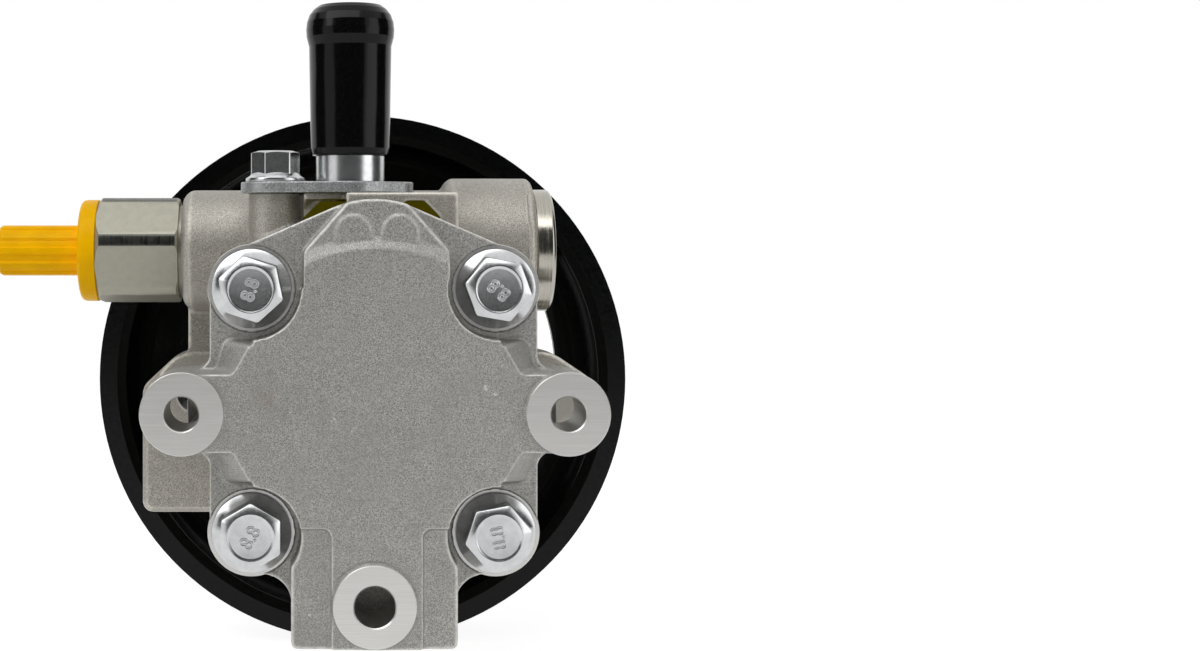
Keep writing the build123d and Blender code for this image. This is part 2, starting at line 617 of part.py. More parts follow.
def make_plateau():
    """Raised middle of the cover with its sloped ear arms, upper panel and leg."""
    b = BOLT_SPREAD / 2
    foot_y = COVER_FLANGE_Y + 1
    panel = make_face(Polyline(
        (-PANEL_HALF_WIDTH, 0),
        (PANEL_HALF_WIDTH, 0),
        (PANEL_HALF_WIDTH, PANEL_CORNER_Z),
        (PANEL_TOP_HALF_WIDTH, APEX_Z),
        (-PANEL_TOP_HALF_WIDTH, APEX_Z),
        (-PANEL_HALF_WIDTH, PANEL_CORNER_Z),
        close=True,
    ))
    panel_corners = [(s * PANEL_HALF_WIDTH, PANEL_CORNER_Z) for s in (-1, 1)]
    panel = round_corners(panel, panel_corners, PANEL_CORNER_RADIUS)
    top = panel + block(-b, b, LEG_STRIP_TOP_Z, b)
    top += block(-LEG_BAND_HALF_WIDTH, LEG_BAND_HALF_WIDTH, LEG_BOTTOM_Z, 0)
    band_corners = [(s * LEG_BAND_HALF_WIDTH, LEG_STRIP_TOP_Z) for s in (-1, 1)]
    top = round_corners(top, band_corners, LEG_STRIP_CORNER)
    plateau = slab(top, PLATEAU_Y, foot_y)
    arms = arms_outline(
        (COVER_HALF_WIDTH - ARM_SHOULDER_INSET, ARM_SHOULDER_Z),
        (COVER_HALF_WIDTH - ARM_NECK_INSET, REAR_EAR_RADIUS - ARM_NARROWING),
        ARM_TOP_ROUNDING,
    )
    foot = arms_outline(
        (COVER_HALF_WIDTH - ARM_FOOT_SHOULDER_INSET, ARM_FOOT_SHOULDER_Z),
        (COVER_HALF_WIDTH - ARM_FOOT_NECK_INSET, REAR_EAR_RADIUS - ARM_FOOT_NARROWING),
        ARM_FOOT_ROUNDING,
    )
    plateau += loft([across(PLATEAU_Y) * arms, across(COVER_FLANGE_Y) * foot], ruled=True)
    plateau += slab(foot, COVER_FLANGE_Y, foot_y)
    step = turned(
        SHAFT_LINE,
        (0, PANEL_STEP_RADIUS),
        (PLATEAU_Y, PANEL_STEP_RADIUS),
        (APEX_LEVEL_Y, PANEL_STEP_RADIUS + PANEL_STEP_RUN),
        (APEX_LEVEL_Y, 2 * PANEL_STEP_RADIUS),
        (0, 2 * PANEL_STEP_RADIUS),
    )
    plateau -= step & slab(block(-b, b, b, APEX_Z + b), 0, COVER_FLANGE_Y)
    for s in (-1, 1):
        x = s * ARCH_SPREAD / 2
        low_z = PANEL_STEP_RADIUS
        high_z = ARCH_TOP_Z - ARCH_WIDTH / 2
        arch = Pos(x, high_z) * Circle(ARCH_WIDTH / 2)
        arch += block(x - ARCH_WIDTH / 2, x + ARCH_WIDTH / 2, low_z, high_z)
        plateau += slab(arch, APEX_LEVEL_Y - ARCH_HEIGHT, foot_y)
    plateau = Pos(PLATEAU_SHIFT, 0, 0) * plateau
    strips = block(-LEG_HALF_WIDTH, LEG_HALF_WIDTH, LEG_BOTTOM_Z, LEG_STRIP_TOP_Z)
    plateau += slab(strips, LEG_STRIP_Y, foot_y)
    for x, z in BOLT_PLACES:
        plateau -= slab(Pos(x, z) * Circle(BOLT_RELIEF_RADIUS), 0, COVER_FLANGE_Y)
    return plateau & slab(flange_outline(), 0, foot_y)


def make_pump_body():
    """Cast body: drum, nose, bolt lugs, front ears, valve housing and suction pad."""
    flange_end = COVER_JOINT_Y + BODY_FLANGE_WIDTH
    body = turned(
        SHAFT_LINE,
        (COVER_JOINT_Y, 0),
        (COVER_JOINT_Y, DRUM_RADIUS),
        (DRUM_END_Y, DRUM_RADIUS),
        (NOSE_START_Y, NOSE_RADIUS),
        (NOSE_END_Y - HOUSING_EDGE, NOSE_RADIUS),
        (NOSE_END_Y, NOSE_RADIUS - HOUSING_EDGE),
        (NOSE_END_Y, 0),
    )
    body += slab(cover_outline(), COVER_JOINT_Y, flange_end)
    for x, z in BOLT_PLACES:
        body += slab(Pos(x, z) * Circle(BOLT_LUG_RADIUS), COVER_JOINT_Y, BOLT_LUG_END_Y)
    front_ear_end = FRONT_EAR_Y + FRONT_EAR_LENGTH
    for x, z in EAR_PLACES:
        arm = outline_of_circles((0, 0, FRONT_EAR_RADIUS), (x, z, FRONT_EAR_RADIUS))
        body += slab(arm, FRONT_EAR_Y, front_ear_end)
    tip = outline_of_circles(
        (EAR_SPREAD / 2, 0, FRONT_EAR_RADIUS), (FRONT_EAR_TIP_X, 0, FRONT_EAR_TIP_RADIUS)
    )
    body += slab(tip, FRONT_EAR_Y, front_ear_end)
    body += make_left_block()
    body += make_valve_housing()
    body += make_suction_pad()
    for (x, z), hole in zip(EAR_PLACES, FRONT_EAR_HOLES):
        body -= slab(Pos(x, z) * Circle(hole / 2), FRONT_EAR_Y, front_ear_end)
    for x, z in BOLT_PLACES:
        body -= slab(Pos(x, z) * Circle(BOLT_THREAD / 2), COVER_JOINT_Y, BOLT_END_Y)
    return cut_body_bores(body)


def make_left_block():
    """Plain cast block beside the left front ear, with its rear edges chamfered."""
    corner = BLOCK_BOTTOM_Z + BLOCK_CORNER
    face = outline_of_circles(
        (-EAR_SPREAD / 2, 0, FRONT_EAR_RADIUS),
        (BLOCK_LEFT_X + BLOCK_SHOULDER_RADIUS, BLOCK_SHOULDER_Z, BLOCK_SHOULDER_RADIUS),
        (BLOCK_LEFT_X + BLOCK_CORNER, corner, BLOCK_CORNER),
        (BLOCK_RIGHT_X, corner, BLOCK_CORNER),
    )
    solid = slab(face, BLOCK_REAR_Y, BLOCK_REAR_Y + BLOCK_DEPTH)
    rim = solid.faces().sort_by(Axis.Y)[0].edges()
    return chamfer(rim, BLOCK_CHAMFER)


def make_valve_housing():
    """Two coaxial cylinders across the top, and the flank that joins the left one to the drum."""
    left = turned(
        VALVE_LINE,
        (HOUSING_LEFT_X, 0),
        (HOUSING_LEFT_X, HOUSING_LEFT_RADIUS - HOUSING_EDGE),
        (HOUSING_LEFT_X + HOUSING_EDGE * 0.4, HOUSING_LEFT_RADIUS - HOUSING_EDGE * 0.4),
        (HOUSING_LEFT_X + HOUSING_EDGE, HOUSING_LEFT_RADIUS),
        (HOUSING_STEP_X, HOUSING_LEFT_RADIUS),
        (HOUSING_STEP_X, 0),
    )
    right = turned(
        VALVE_LINE,
        (HOUSING_STEP_X, 0),
        (HOUSING_STEP_X, HOUSING_RIGHT_RADIUS - HOUSING_EDGE),
        (HOUSING_STEP_X + HOUSING_EDGE * 0.4, HOUSING_RIGHT_RADIUS - HOUSING_EDGE * 0.4),
        (HOUSING_STEP_X + HOUSING_EDGE, HOUSING_RIGHT_RADIUS),
        (HOUSING_RIGHT_X - 1, HOUSING_RIGHT_RADIUS),
        (HOUSING_RIGHT_X, HOUSING_RIGHT_RADIUS - 1),
        (HOUSING_RIGHT_X, 0),
    )
    flank = slab(block(FLANK_LEFT_X, 0, FLANK_BOTTOM_Z, VALVE_Z), FLANK_REAR_Y, FLANK_REAR_Y + FLANK_DEPTH)
    return left + right + flank


def make_suction_pad():
    """Pad under the clamp plate, its bolt column and the shallow pocket below its lip."""
    step_left = COLUMN_X + COLUMN_RADIUS + COLUMN_GROOVE
    pad = slab(block(PAD_STEP_X, PAD_RIGHT_X, 0, PAD_TOP_Z), COVER_JOINT_Y, PAD_FRONT_Y)
    pad += slab(block(step_left, PAD_STEP_X, 0, PAD_TOP_Z), COVER_JOINT_Y + PAD_STEP_DEPTH, PAD_FRONT_Y)
    pad += slab(block(COLUMN_X, PAD_STEP_X, 0, PAD_TOP_Z), PIPE_Y, PAD_FRONT_Y)
    pad += rod(COLUMN_LINE, 0, PAD_TOP_Z, COLUMN_RADIUS)
    lip_z = PAD_TOP_Z - PAD_LIP
    wide = POCKET_TOP_HALF_WIDTH + POCKET_SLANT
    pocket = make_face(Polyline(
        (-wide, lip_z - POCKET_SLANT),
        (-POCKET_TOP_HALF_WIDTH, lip_z),
        (POCKET_TOP_HALF_WIDTH, lip_z),
        (wide, lip_z - POCKET_SLANT),
        (wide, lip_z - 2 * POCKET_SLANT),
        (-wide, lip_z - 2 * POCKET_SLANT),
        close=True,
    ))
    return pad - slab(pocket, COVER_JOINT_Y, COVER_JOINT_Y + POCKET_DEPTH)


def cut_body_bores(body):
    """Cartridge bore, bush and seal bores, valve bore, suction and pressure drillings."""
    bush_radius = JOURNAL_RADIUS + RUNNING_GAP + FRONT_BUSH_WALL
    body -= turned(
        SHAFT_LINE,
        (COVER_JOINT_Y, 0),
        (COVER_JOINT_Y, CARTRIDGE_RADIUS),
        (BODY_WALL_Y, CARTRIDGE_RADIUS),
        (BODY_WALL_Y, bush_radius),
        (FRONT_BUSH_END_Y, bush_radius),
        (FRONT_BUSH_END_Y + 1, SEAL_OUTER_RADIUS),
        (NOSE_END_Y, SEAL_OUTER_RADIUS),
        (NOSE_END_Y, 0),
    )
    body -= ring(
        SHAFT_LINE,
        COVER_JOINT_Y,
        COVER_JOINT_Y + SUCTION_GALLERY_WIDTH,
        CARTRIDGE_RADIUS + SUCTION_GALLERY_DEPTH,
        CARTRIDGE_RADIUS - 1,
    )
    body -= turned(
        VALVE_LINE,
        (HOUSING_LEFT_X, 0),
        (HOUSING_LEFT_X, UNION_THREAD_RADIUS),
        (UNION_INNER_X, UNION_THREAD_RADIUS),
        (UNION_INNER_X, VALVE_BORE_RADIUS),
        (END_PLUG_INNER_X, VALVE_BORE_RADIUS),
        (END_PLUG_INNER_X, END_PLUG_THREAD_RADIUS),
        (HOUSING_RIGHT_X, END_PLUG_THREAD_RADIUS),
        (HOUSING_RIGHT_X, 0),
    )
    body -= rod(PIPE_LINE, SPIGOT_BOTTOM_Z, PAD_TOP_Z, SPIGOT_RADIUS + SEAT_GAP)
    body -= rod(PIPE_LINE, CARTRIDGE_RADIUS, SPIGOT_BOTTOM_Z, SUCTION_DRILL_RADIUS)
    body -= rod(COLUMN_LINE, PLATE_TOP_Z - PIPE_BOLT_LENGTH, PAD_TOP_Z, PIPE_BOLT_THREAD / 2)
    chamber_middle = BODY_WALL_Y - CHAMBER_WIDTH / 2
    pressure_line = Plane(origin=(PRESSURE_DRILL_X, chamber_middle, 0), x_dir=(0, 0, 1), z_dir=(1, 0, 0))
    body -= rod(pressure_line, 0, VALVE_Z, PRESSURE_DRILL_RADIUS)
    bypass_line = Plane(origin=(BYPASS_DRILL_X, 0, VALVE_Z), x_dir=(0, 1, 0), z_dir=(1, 0, 0))
    body -= rod(bypass_line, PIPE_Y, VALVE_Y, BYPASS_DRILL_RADIUS)
    return body


def make_cartridge():
    """Static pieces around the rotor, and the pins that hold them in line."""
    pins = pin_holes()
    pins_front_y = CAM_END_Y + PIN_PLATE_DEPTH
    outer = CARTRIDGE_RADIUS - SEAT_GAP
    cam = slab(Circle(outer) - Ellipse(CAM_MINOR_RADIUS, CAM_MAJOR_RADIUS) - pins, COVER_JOINT_Y, CAM_END_Y)
    root = CARTRIDGE_RADIUS - PLATE_SEAL_SECTION
    middle = CAM_END_Y + SIDE_PLATE_WIDTH / 2
    half = PLATE_SEAL_SECTION * 0.6
    plate = turned(
        SHAFT_LINE,
        (CAM_END_Y, JOURNAL_RADIUS + SCREW_HOLE_GAP),
        (CAM_END_Y, outer),
        (middle - half, outer),
        (middle - half, root),
        (middle + half, root),
        (middle + half, outer),
        (CHAMBER_Y, outer),
        (CHAMBER_Y, JOURNAL_RADIUS + SCREW_HOLE_GAP),
    )
    plate -= slab(port_pair(135, PORT_ARC_RADIUS, PORT_WIDTH), CAM_END_Y, CHAMBER_Y)
    plate -= slab(pins, CAM_END_Y, pins_front_y)
    return {
        "cam_ring": cam,
        "side_plate": plate,
        "side_plate_seal_ring": seal_ring(
            SHAFT_LINE, middle, CARTRIDGE_RADIUS - PLATE_SEAL_SECTION / 2, PLATE_SEAL_SECTION
        ),
        "locating_pins": slab(pins, COVER_JOINT_Y - PIN_DEPTH, pins_front_y),
        "cover_seal_ring": seal_ring(
            SHAFT_LINE, COVER_JOINT_Y - COVER_SEAL_SECTION / 2, COVER_SEAL_RADIUS, COVER_SEAL_SECTION
        ),
    }


def make_rotor_group():
    """Rotor, its vanes drawn in clear of the cam, and the clip that keeps the rotor on the shaft."""
    slot = block(ROTOR_RADIUS - VANE_HEIGHT, ROTOR_RADIUS + 1, -VANE_THICKNESS / 2, VANE_THICKNESS / 2)
    slot += Pos(ROTOR_RADIUS - VANE_HEIGHT, 0) * Circle(SLOT_ROOT_RADIUS)
    face = Circle(ROTOR_RADIUS) - spline_shape(SEAT_GAP)
    vane_outer = CAM_MINOR_RADIUS - VANE_TIP_GAP
    thin = VANE_THICKNESS / 2 - SIDE_PLAY
    tip = thin * 0.5
    vane = make_face(Polyline(
        (vane_outer - VANE_HEIGHT, -thin),
        (vane_outer - tip, -thin),
        (vane_outer, -tip),
        (vane_outer, tip),
        (vane_outer - tip, thin),
        (vane_outer - VANE_HEIGHT, thin),
        close=True,
    ))
    rear, front = COVER_JOINT_Y + SIDE_PLAY, CAM_END_Y - SIDE_PLAY
    pieces = {}
    for i in range(VANE_COUNT):
        turn = Rot(0, 0, (i + 0.5) * 360 / VANE_COUNT)
        face -= turn * slot
        pieces[f"vane_{i + 1:02d}"] = slab(turn * vane, rear, front)
    rotor = slab(face, rear, front)
    rotor -= rod(SHAFT_LINE, rear, rear + CLIP_RECESS, CLIP_RADIUS + SEAT_GAP)
    pieces["rotor"] = rotor
    gap = block(0, 2 * CLIP_RADIUS, -1.5, 1.5)
    clip_groove = SPLINE_ROOT_RADIUS - 0.6
    clip = Circle(CLIP_RADIUS) - Circle(clip_groove) - gap
    clip_rear = rear + (CLIP_RECESS - CLIP_THICKNESS) / 2
    pieces["rotor_clip"] = slab(clip, clip_rear, clip_rear + CLIP_THICKNESS)
    pieces["drive_shaft"] = make_shaft(clip_rear, clip_groove)
    return pieces


def make_shaft(clip_rear, clip_groove):
    """Shaft with its rear journal, spline, main journal and front seat for the hub."""
    rear = COVER_JOINT_Y - REAR_JOURNAL_LENGTH
    shaft = turned(
        SHAFT_LINE,
        (rear, 0),
        (rear, REAR_JOURNAL_RADIUS - SHAFT_CHAMFER),
        (rear + SHAFT_CHAMFER, REAR_JOURNAL_RADIUS),
        (COVER_JOINT_Y, REAR_JOURNAL_RADIUS),
        (COVER_JOINT_Y, 0),
    )
    shaft += slab(spline_shape(), COVER_JOINT_Y, JOURNAL_START_Y)
    shaft -= ring(SHAFT_LINE, clip_rear, clip_rear + CLIP_THICKNESS, CLIP_RADIUS, clip_groove)
    shaft += turned(
        SHAFT_LINE,
        (JOURNAL_START_Y, 0),
        (JOURNAL_START_Y, JOURNAL_RADIUS),
        (HUB_REAR_Y - 1, JOURNAL_RADIUS),
        (HUB_REAR_Y, SHAFT_FRONT_RADIUS),
        (SHAFT_FRONT_Y - SHAFT_CHAMFER, SHAFT_FRONT_RADIUS),
        (SHAFT_FRONT_Y, SHAFT_FRONT_RADIUS - SHAFT_CHAMFER),
        (SHAFT_FRONT_Y, 0),
    )
    return shaft


def make_bushes_and_seal():
    """Plain bushes pressed in the cover and the body, and the lip seal in the nose."""
    rear_inner = REAR_JOURNAL_RADIUS + RUNNING_GAP
    front_inner = JOURNAL_RADIUS + RUNNING_GAP
    lip = JOURNAL_RADIUS + RUNNING_GAP
    seal_rear = SEAL_END_Y - SEAL_LENGTH
    wall = SEAL_OUTER_RADIUS - SEAL_WALL
    return {
        "rear_bushing": ring(
            SHAFT_LINE,
            COVER_JOINT_Y - REAR_JOURNAL_LENGTH,
            COVER_JOINT_Y,
            rear_inner + REAR_BUSH_WALL,
            rear_inner,
        ),
        "front_bushing": ring(
            SHAFT_LINE, BODY_WALL_Y, FRONT_BUSH_END_Y, front_inner + FRONT_BUSH_WALL, front_inner
        ),
        "shaft_seal": turned(
            SHAFT_LINE,
            (seal_rear, SEAL_OUTER_RADIUS),
            (SEAL_END_Y, SEAL_OUTER_RADIUS),
            (SEAL_END_Y, lip + 1.2),
            (SEAL_END_Y - 0.8, lip),
            (SEAL_END_Y - SEAL_WALL, lip + 1.0),
            (seal_rear + SEAL_WALL + 1, lip + 1.4),
            (seal_rear + SEAL_WALL, lip),
            (seal_rear + 1, lip + 1.2),
            (seal_rear + 1.5, lip + 2.4),
            (SEAL_END_Y - SEAL_WALL, lip + 2.4),
            (SEAL_END_Y - SEAL_WALL, wall),
            (seal_rear, wall),
        ),
    }


def make_pulley():
    """Formed steel pulley: ribbed rim, dished shoulder and web with kidney windows."""
    slope = LIP_HEIGHT / 2
    points = [
        (PULLEY_REAR_Y, RIM_INNER_RADIUS + RIM_FLARE),
        (PULLEY_REAR_Y, LIP_RADIUS),
        (PULLEY_REAR_Y + LIP_WIDTH, LIP_RADIUS),
    ]
    band_start = PULLEY_REAR_Y + LIP_WIDTH + slope
    points.append((band_start, BAND_RADIUS))
    for i in range(RIB_COUNT):
        middle = band_start + (i + 0.5) * RIB_PITCH
        points += [
            (middle - GROOVE_HALF_WIDTH, BAND_RADIUS),
            (middle, BAND_RADIUS - GROOVE_DEPTH),
            (middle + GROOVE_HALF_WIDTH, BAND_RADIUS),
        ]
    points += [
        (PULLEY_FRONT_Y - LIP_WIDTH - slope, BAND_RADIUS),
        (PULLEY_FRONT_Y - LIP_WIDTH, LIP_RADIUS),
        (PULLEY_FRONT_Y, LIP_RADIUS),
        (PULLEY_FRONT_Y, RIM_INNER_RADIUS + RIM_FLARE),
        (PULLEY_FRONT_Y - RIM_FLARE, RIM_INNER_RADIUS),
        (WEB_FRONT_Y + 1, RIM_INNER_RADIUS),
        (WEB_FRONT_Y, RIM_INNER_RADIUS - 1),
        (WEB_FRONT_Y, HUB_RADIUS),
        (WEB_REAR_Y, HUB_RADIUS),
        (WEB_REAR_Y, WEB_SHOULDER_RADIUS),
        (WEB_REAR_Y - WEB_SHOULDER_RUN * 0.3, WEB_SHOULDER_RADIUS + 3.2),
        (WEB_REAR_Y - WEB_SHOULDER_RUN, RIM_INNER_RADIUS),
        (PULLEY_REAR_Y + RIM_FLARE, RIM_INNER_RADIUS),
    ]
    pulley = turned(SHAFT_LINE, *points)
    for i in range(WINDOW_COUNT):
        face = Rot(0, 0, i * 360 / WINDOW_COUNT) * window_shape()
        pulley -= slab(face, WEB_REAR_Y - 1, WEB_FRONT_Y + 1)
    return pulley


def make_pulley_hub():
    """Turned hub welded to the web, with a groove at its front end for a puller."""
    groove_front = HUB_FRONT_Y - HUB_RIM_WIDTH
    return turned(
        SHAFT_LINE,
        (HUB_REAR_Y, SHAFT_FRONT_RADIUS),
        (HUB_REAR_Y, HUB_RADIUS - 0.8),
        (HUB_REAR_Y + 0.8, HUB_RADIUS),
        (WEB_REAR_Y - HUB_FLANGE_THICKNESS - 2, HUB_RADIUS),
        (WEB_REAR_Y - HUB_FLANGE_THICKNESS, HUB_RADIUS + 2),
        (WEB_REAR_Y - HUB_FLANGE_THICKNESS, HUB_FLANGE_RADIUS),
        (WEB_REAR_Y, HUB_FLANGE_RADIUS),
        (WEB_REAR_Y, HUB_RADIUS),
        (WEB_FRONT_Y, HUB_RADIUS),
        (WEB_FRONT_Y, HUB_RADIUS - PULLER_GROOVE_DEPTH),
        (groove_front, HUB_RADIUS - PULLER_GROOVE_DEPTH),
        (groove_front, HUB_RADIUS),
        (HUB_FRONT_Y, HUB_RADIUS),
        (HUB_FRONT_Y, SHAFT_FRONT_RADIUS),
    )


def make_outlet():
    """Hexagon union screwed in the left end of the housing, its ring and the transport plug."""
    turned_radius = UNION_TURNED_DIAMETER / 2
    hexagon = Rot(0, 0, UNION_HEX_TURN) * RegularPolygon(UNION_ACROSS_FLATS / 2, 6, major_radius=False)
    spot = Plane(origin=(UNION_OUTER_X, VALVE_Y, VALVE_Z), x_dir=(0, -1, 0), z_dir=(1, 0, 0))
    body = extrude(spot * hexagon, UNION_HEX_LENGTH)
    body &= turned(
        VALVE_LINE,
        (UNION_OUTER_X, 0),
        (UNION_OUTER_X, turned_radius - UNION_CHAMFER),
        (UNION_OUTER_X + UNION_CHAMFER, turned_radius),
        (UNION_END_X - UNION_CHAMFER / 2, turned_radius),
        (UNION_END_X, turned_radius - UNION_CHAMFER / 2),
        (UNION_END_X, 0),
    )
    root = UNION_THREAD_RADIUS - UNION_SEAL_SECTION
    groove_end = HOUSING_LEFT_X + UNION_SEAL_SECTION * 1.3
    body += turned(
        VALVE_LINE,
        (UNION_END_X, 0),
        (UNION_END_X, UNION_ACROSS_FLATS / 2 - 1),
        (HOUSING_LEFT_X, UNION_ACROSS_FLATS / 2 - 1),
        (HOUSING_LEFT_X, root),
        (groove_end, root),
        (groove_end, UNION_THREAD_RADIUS),
        (UNION_INNER_X - 1, UNION_THREAD_RADIUS),
        (UNION_INNER_X, UNION_THREAD_RADIUS - 1),
        (UNION_INNER_X, 0),
    )
    port_end = UNION_OUTER_X + UNION_PORT_DEPTH
    body -= rod(VALVE_LINE, UNION_OUTER_X, port_end, UNION_PORT_RADIUS)
    body -= rod(VALVE_LINE, port_end, UNION_INNER_X, UNION_ORIFICE_RADIUS)
    ring_x = (HOUSING_LEFT_X + groove_end) / 2
    flange_right = UNION_OUTER_X - CAP_GAP
    flange_left = flange_right - PLUG_FLANGE_THICKNESS
    plug = turned(
        VALVE_LINE,
        (flange_left - PLUG_STEM_LENGTH + 0.8, 0),
        (flange_left - 0.5, 0),
        (flange_left - 0.5, PLUG_FLANGE_RADIUS * 0.72),
        (flange_left, PLUG_FLANGE_RADIUS - 1.2),
        (flange_left + 0.7, PLUG_FLANGE_RADIUS - 0.35),
        (flange_left + 2, PLUG_FLANGE_RADIUS),
        (flange_right, PLUG_FLANGE_RADIUS),
        (flange_right, UNION_PORT_RADIUS - CAP_GAP),
        (flange_right + PLUG_SPIGOT_LENGTH - 1, UNION_PORT_RADIUS - CAP_GAP),
        (flange_right + PLUG_SPIGOT_LENGTH, UNION_PORT_RADIUS - 1),
        (flange_right + PLUG_SPIGOT_LENGTH, 0),
    )
    stem = Circle(PLUG_STEM_RADIUS - PLUG_RIB_DEPTH)
    rib_width = pi * PLUG_STEM_RADIUS / PLUG_RIB_COUNT
    rib = block(0, PLUG_STEM_RADIUS, -rib_width / 2, rib_width / 2)
    for i in range(PLUG_RIB_COUNT):
        stem += Rot(0, 0, i * 360 / PLUG_RIB_COUNT) * rib
    stem_spot = Plane(
        origin=(flange_left - PLUG_STEM_LENGTH, VALVE_Y, VALVE_Z), x_dir=(0, -1, 0), z_dir=(1, 0, 0)
    )
    plug += extrude(stem_spot * stem, PLUG_STEM_LENGTH)
    return {
        "outlet_union": body,
        "union_seal_ring": seal_ring(VALVE_LINE, ring_x, root + UNION_SEAL_SECTION / 2, UNION_SEAL_SECTION),
        "outlet_plug": plug,
    }


def make_end_plug():
    """Screw plug in the right end of the housing, with a hexagon socket and its ring."""
    root = END_PLUG_THREAD_RADIUS - END_SEAL_SECTION
    groove = HOUSING_RIGHT_X - END_SEAL_SECTION * 1.3
    outer = HOUSING_RIGHT_X + END_PLUG_WIDTH
    plug = turned(
        VALVE_LINE,
        (END_PLUG_INNER_X, 0),
        (END_PLUG_INNER_X, END_PLUG_THREAD_RADIUS - 1),
        (END_PLUG_INNER_X + 1, END_PLUG_THREAD_RADIUS),
        (groove, END_PLUG_THREAD_RADIUS),
        (groove, root),
        (HOUSING_RIGHT_X, root),
        (HOUSING_RIGHT_X, END_PLUG_RADIUS - 0.4),
        (HOUSING_RIGHT_X + 0.4, END_PLUG_RADIUS),
        (outer - 0.7, END_PLUG_RADIUS),
        (outer, END_PLUG_RADIUS - 0.7),
        (outer, 0),
    )
    socket = RegularPolygon(END_PLUG_SOCKET / 2, 6, major_radius=False)
    spot = Plane(
        origin=(outer - END_PLUG_SOCKET_DEPTH, VALVE_Y, VALVE_Z), x_dir=(0, -1, 0), z_dir=(1, 0, 0)
    )
    plug -= extrude(spot * socket, END_PLUG_SOCKET_DEPTH)
    ring_x = (groove + HOUSING_RIGHT_X) / 2
    return {
        "valve_end_plug": plug,
        "end_plug_seal_ring": seal_ring(VALVE_LINE, ring_x, root + END_SEAL_SECTION / 2, END_SEAL_SECTION),
    }


def make_control_valve():
    """Spool with its relief valve inside, and the spring that holds it against the union."""
    land = VALVE_BORE_RADIUS - RUNNING_GAP
    groove = land - SPOOL_GROOVE_DEPTH
    left, right = SPOOL_LEFT_X, SPOOL_RIGHT_X
    body_left = left + SPOOL_NOSE_LENGTH
    groove_left = body_left + SPOOL_REAR_LAND
    bore_left = right - RELIEF_BORE_DEPTH
    spool = turned(
        VALVE_LINE,
        (left, 0),
        (left, SPOOL_NOSE_RADIUS - 0.5),
        (left + 0.5, SPOOL_NOSE_RADIUS),
        (body_left, SPOOL_NOSE_RADIUS),
        (body_left, land),
        (groove_left, land),
        (groove_left, groove),
        (right - SPOOL_FRONT_LAND, groove),
        (right - SPOOL_FRONT_LAND, land),
        (right, land),
        (right, RELIEF_BORE_RADIUS),
        (bore_left, RELIEF_BORE_RADIUS),
        (bore_left, 0),
    )
    vent_x = groove_left + SPOOL_GROOVE_WIDTH / 3
    vent = Plane(origin=(vent_x, VALVE_Y, VALVE_Z - land), x_dir=(1, 0, 0), z_dir=(0, 0, 1))
    spool -= extrude(vent * Circle(RELIEF_SEAT_HOLE_RADIUS), 2 * land)
    slot = Pos(left, VALVE_Y, VALVE_Z) * Box(2 * SPOOL_NOSE_SLOT, 3 * SPOOL_NOSE_RADIUS, SPOOL_NOSE_SLOT)
    spool -= slot
    seat_left = right - RELIEF_SEAT_LENGTH
    ball_x = seat_left - (RELIEF_BALL_RADIUS ** 2 - RELIEF_SEAT_HOLE_RADIUS ** 2) ** 0.5 - SEAT_GAP
    cup_x = ball_x - RELIEF_BALL_RADIUS * 2 ** 0.5 - SEAT_GAP
    guide_right = ball_x - 0.4
    guide_left = guide_right - RELIEF_GUIDE_LENGTH
    seat = ring(VALVE_LINE, seat_left, right, RELIEF_BORE_RADIUS, RELIEF_SEAT_HOLE_RADIUS)
    ball = Pos(ball_x, VALVE_Y, VALVE_Z) * Sphere(RELIEF_BALL_RADIUS)
    guide = turned(
        VALVE_LINE,
        (guide_left, 0),
        (guide_left, RELIEF_GUIDE_RADIUS * 0.5),
        (guide_left + 2, RELIEF_GUIDE_RADIUS * 0.5),
        (guide_left + 2, RELIEF_GUIDE_RADIUS),
        (guide_right, RELIEF_GUIDE_RADIUS),
        (guide_right, guide_right - cup_x),
        (cup_x, 0),
    )
    return {
        "control_valve_spool": spool,
        "relief_seat": seat,
        "relief_ball": ball,
        "relief_guide": guide,
        "relief_spring": coil(
            bore_left, guide_left + 2, RELIEF_SPRING_RADIUS, RELIEF_SPRING_WIRE, RELIEF_SPRING_TURNS
        ),
        "valve_spring": coil(
            right, END_PLUG_INNER_X, VALVE_SPRING_RADIUS, VALVE_SPRING_WIRE, VALVE_SPRING_TURNS
        ),
    }


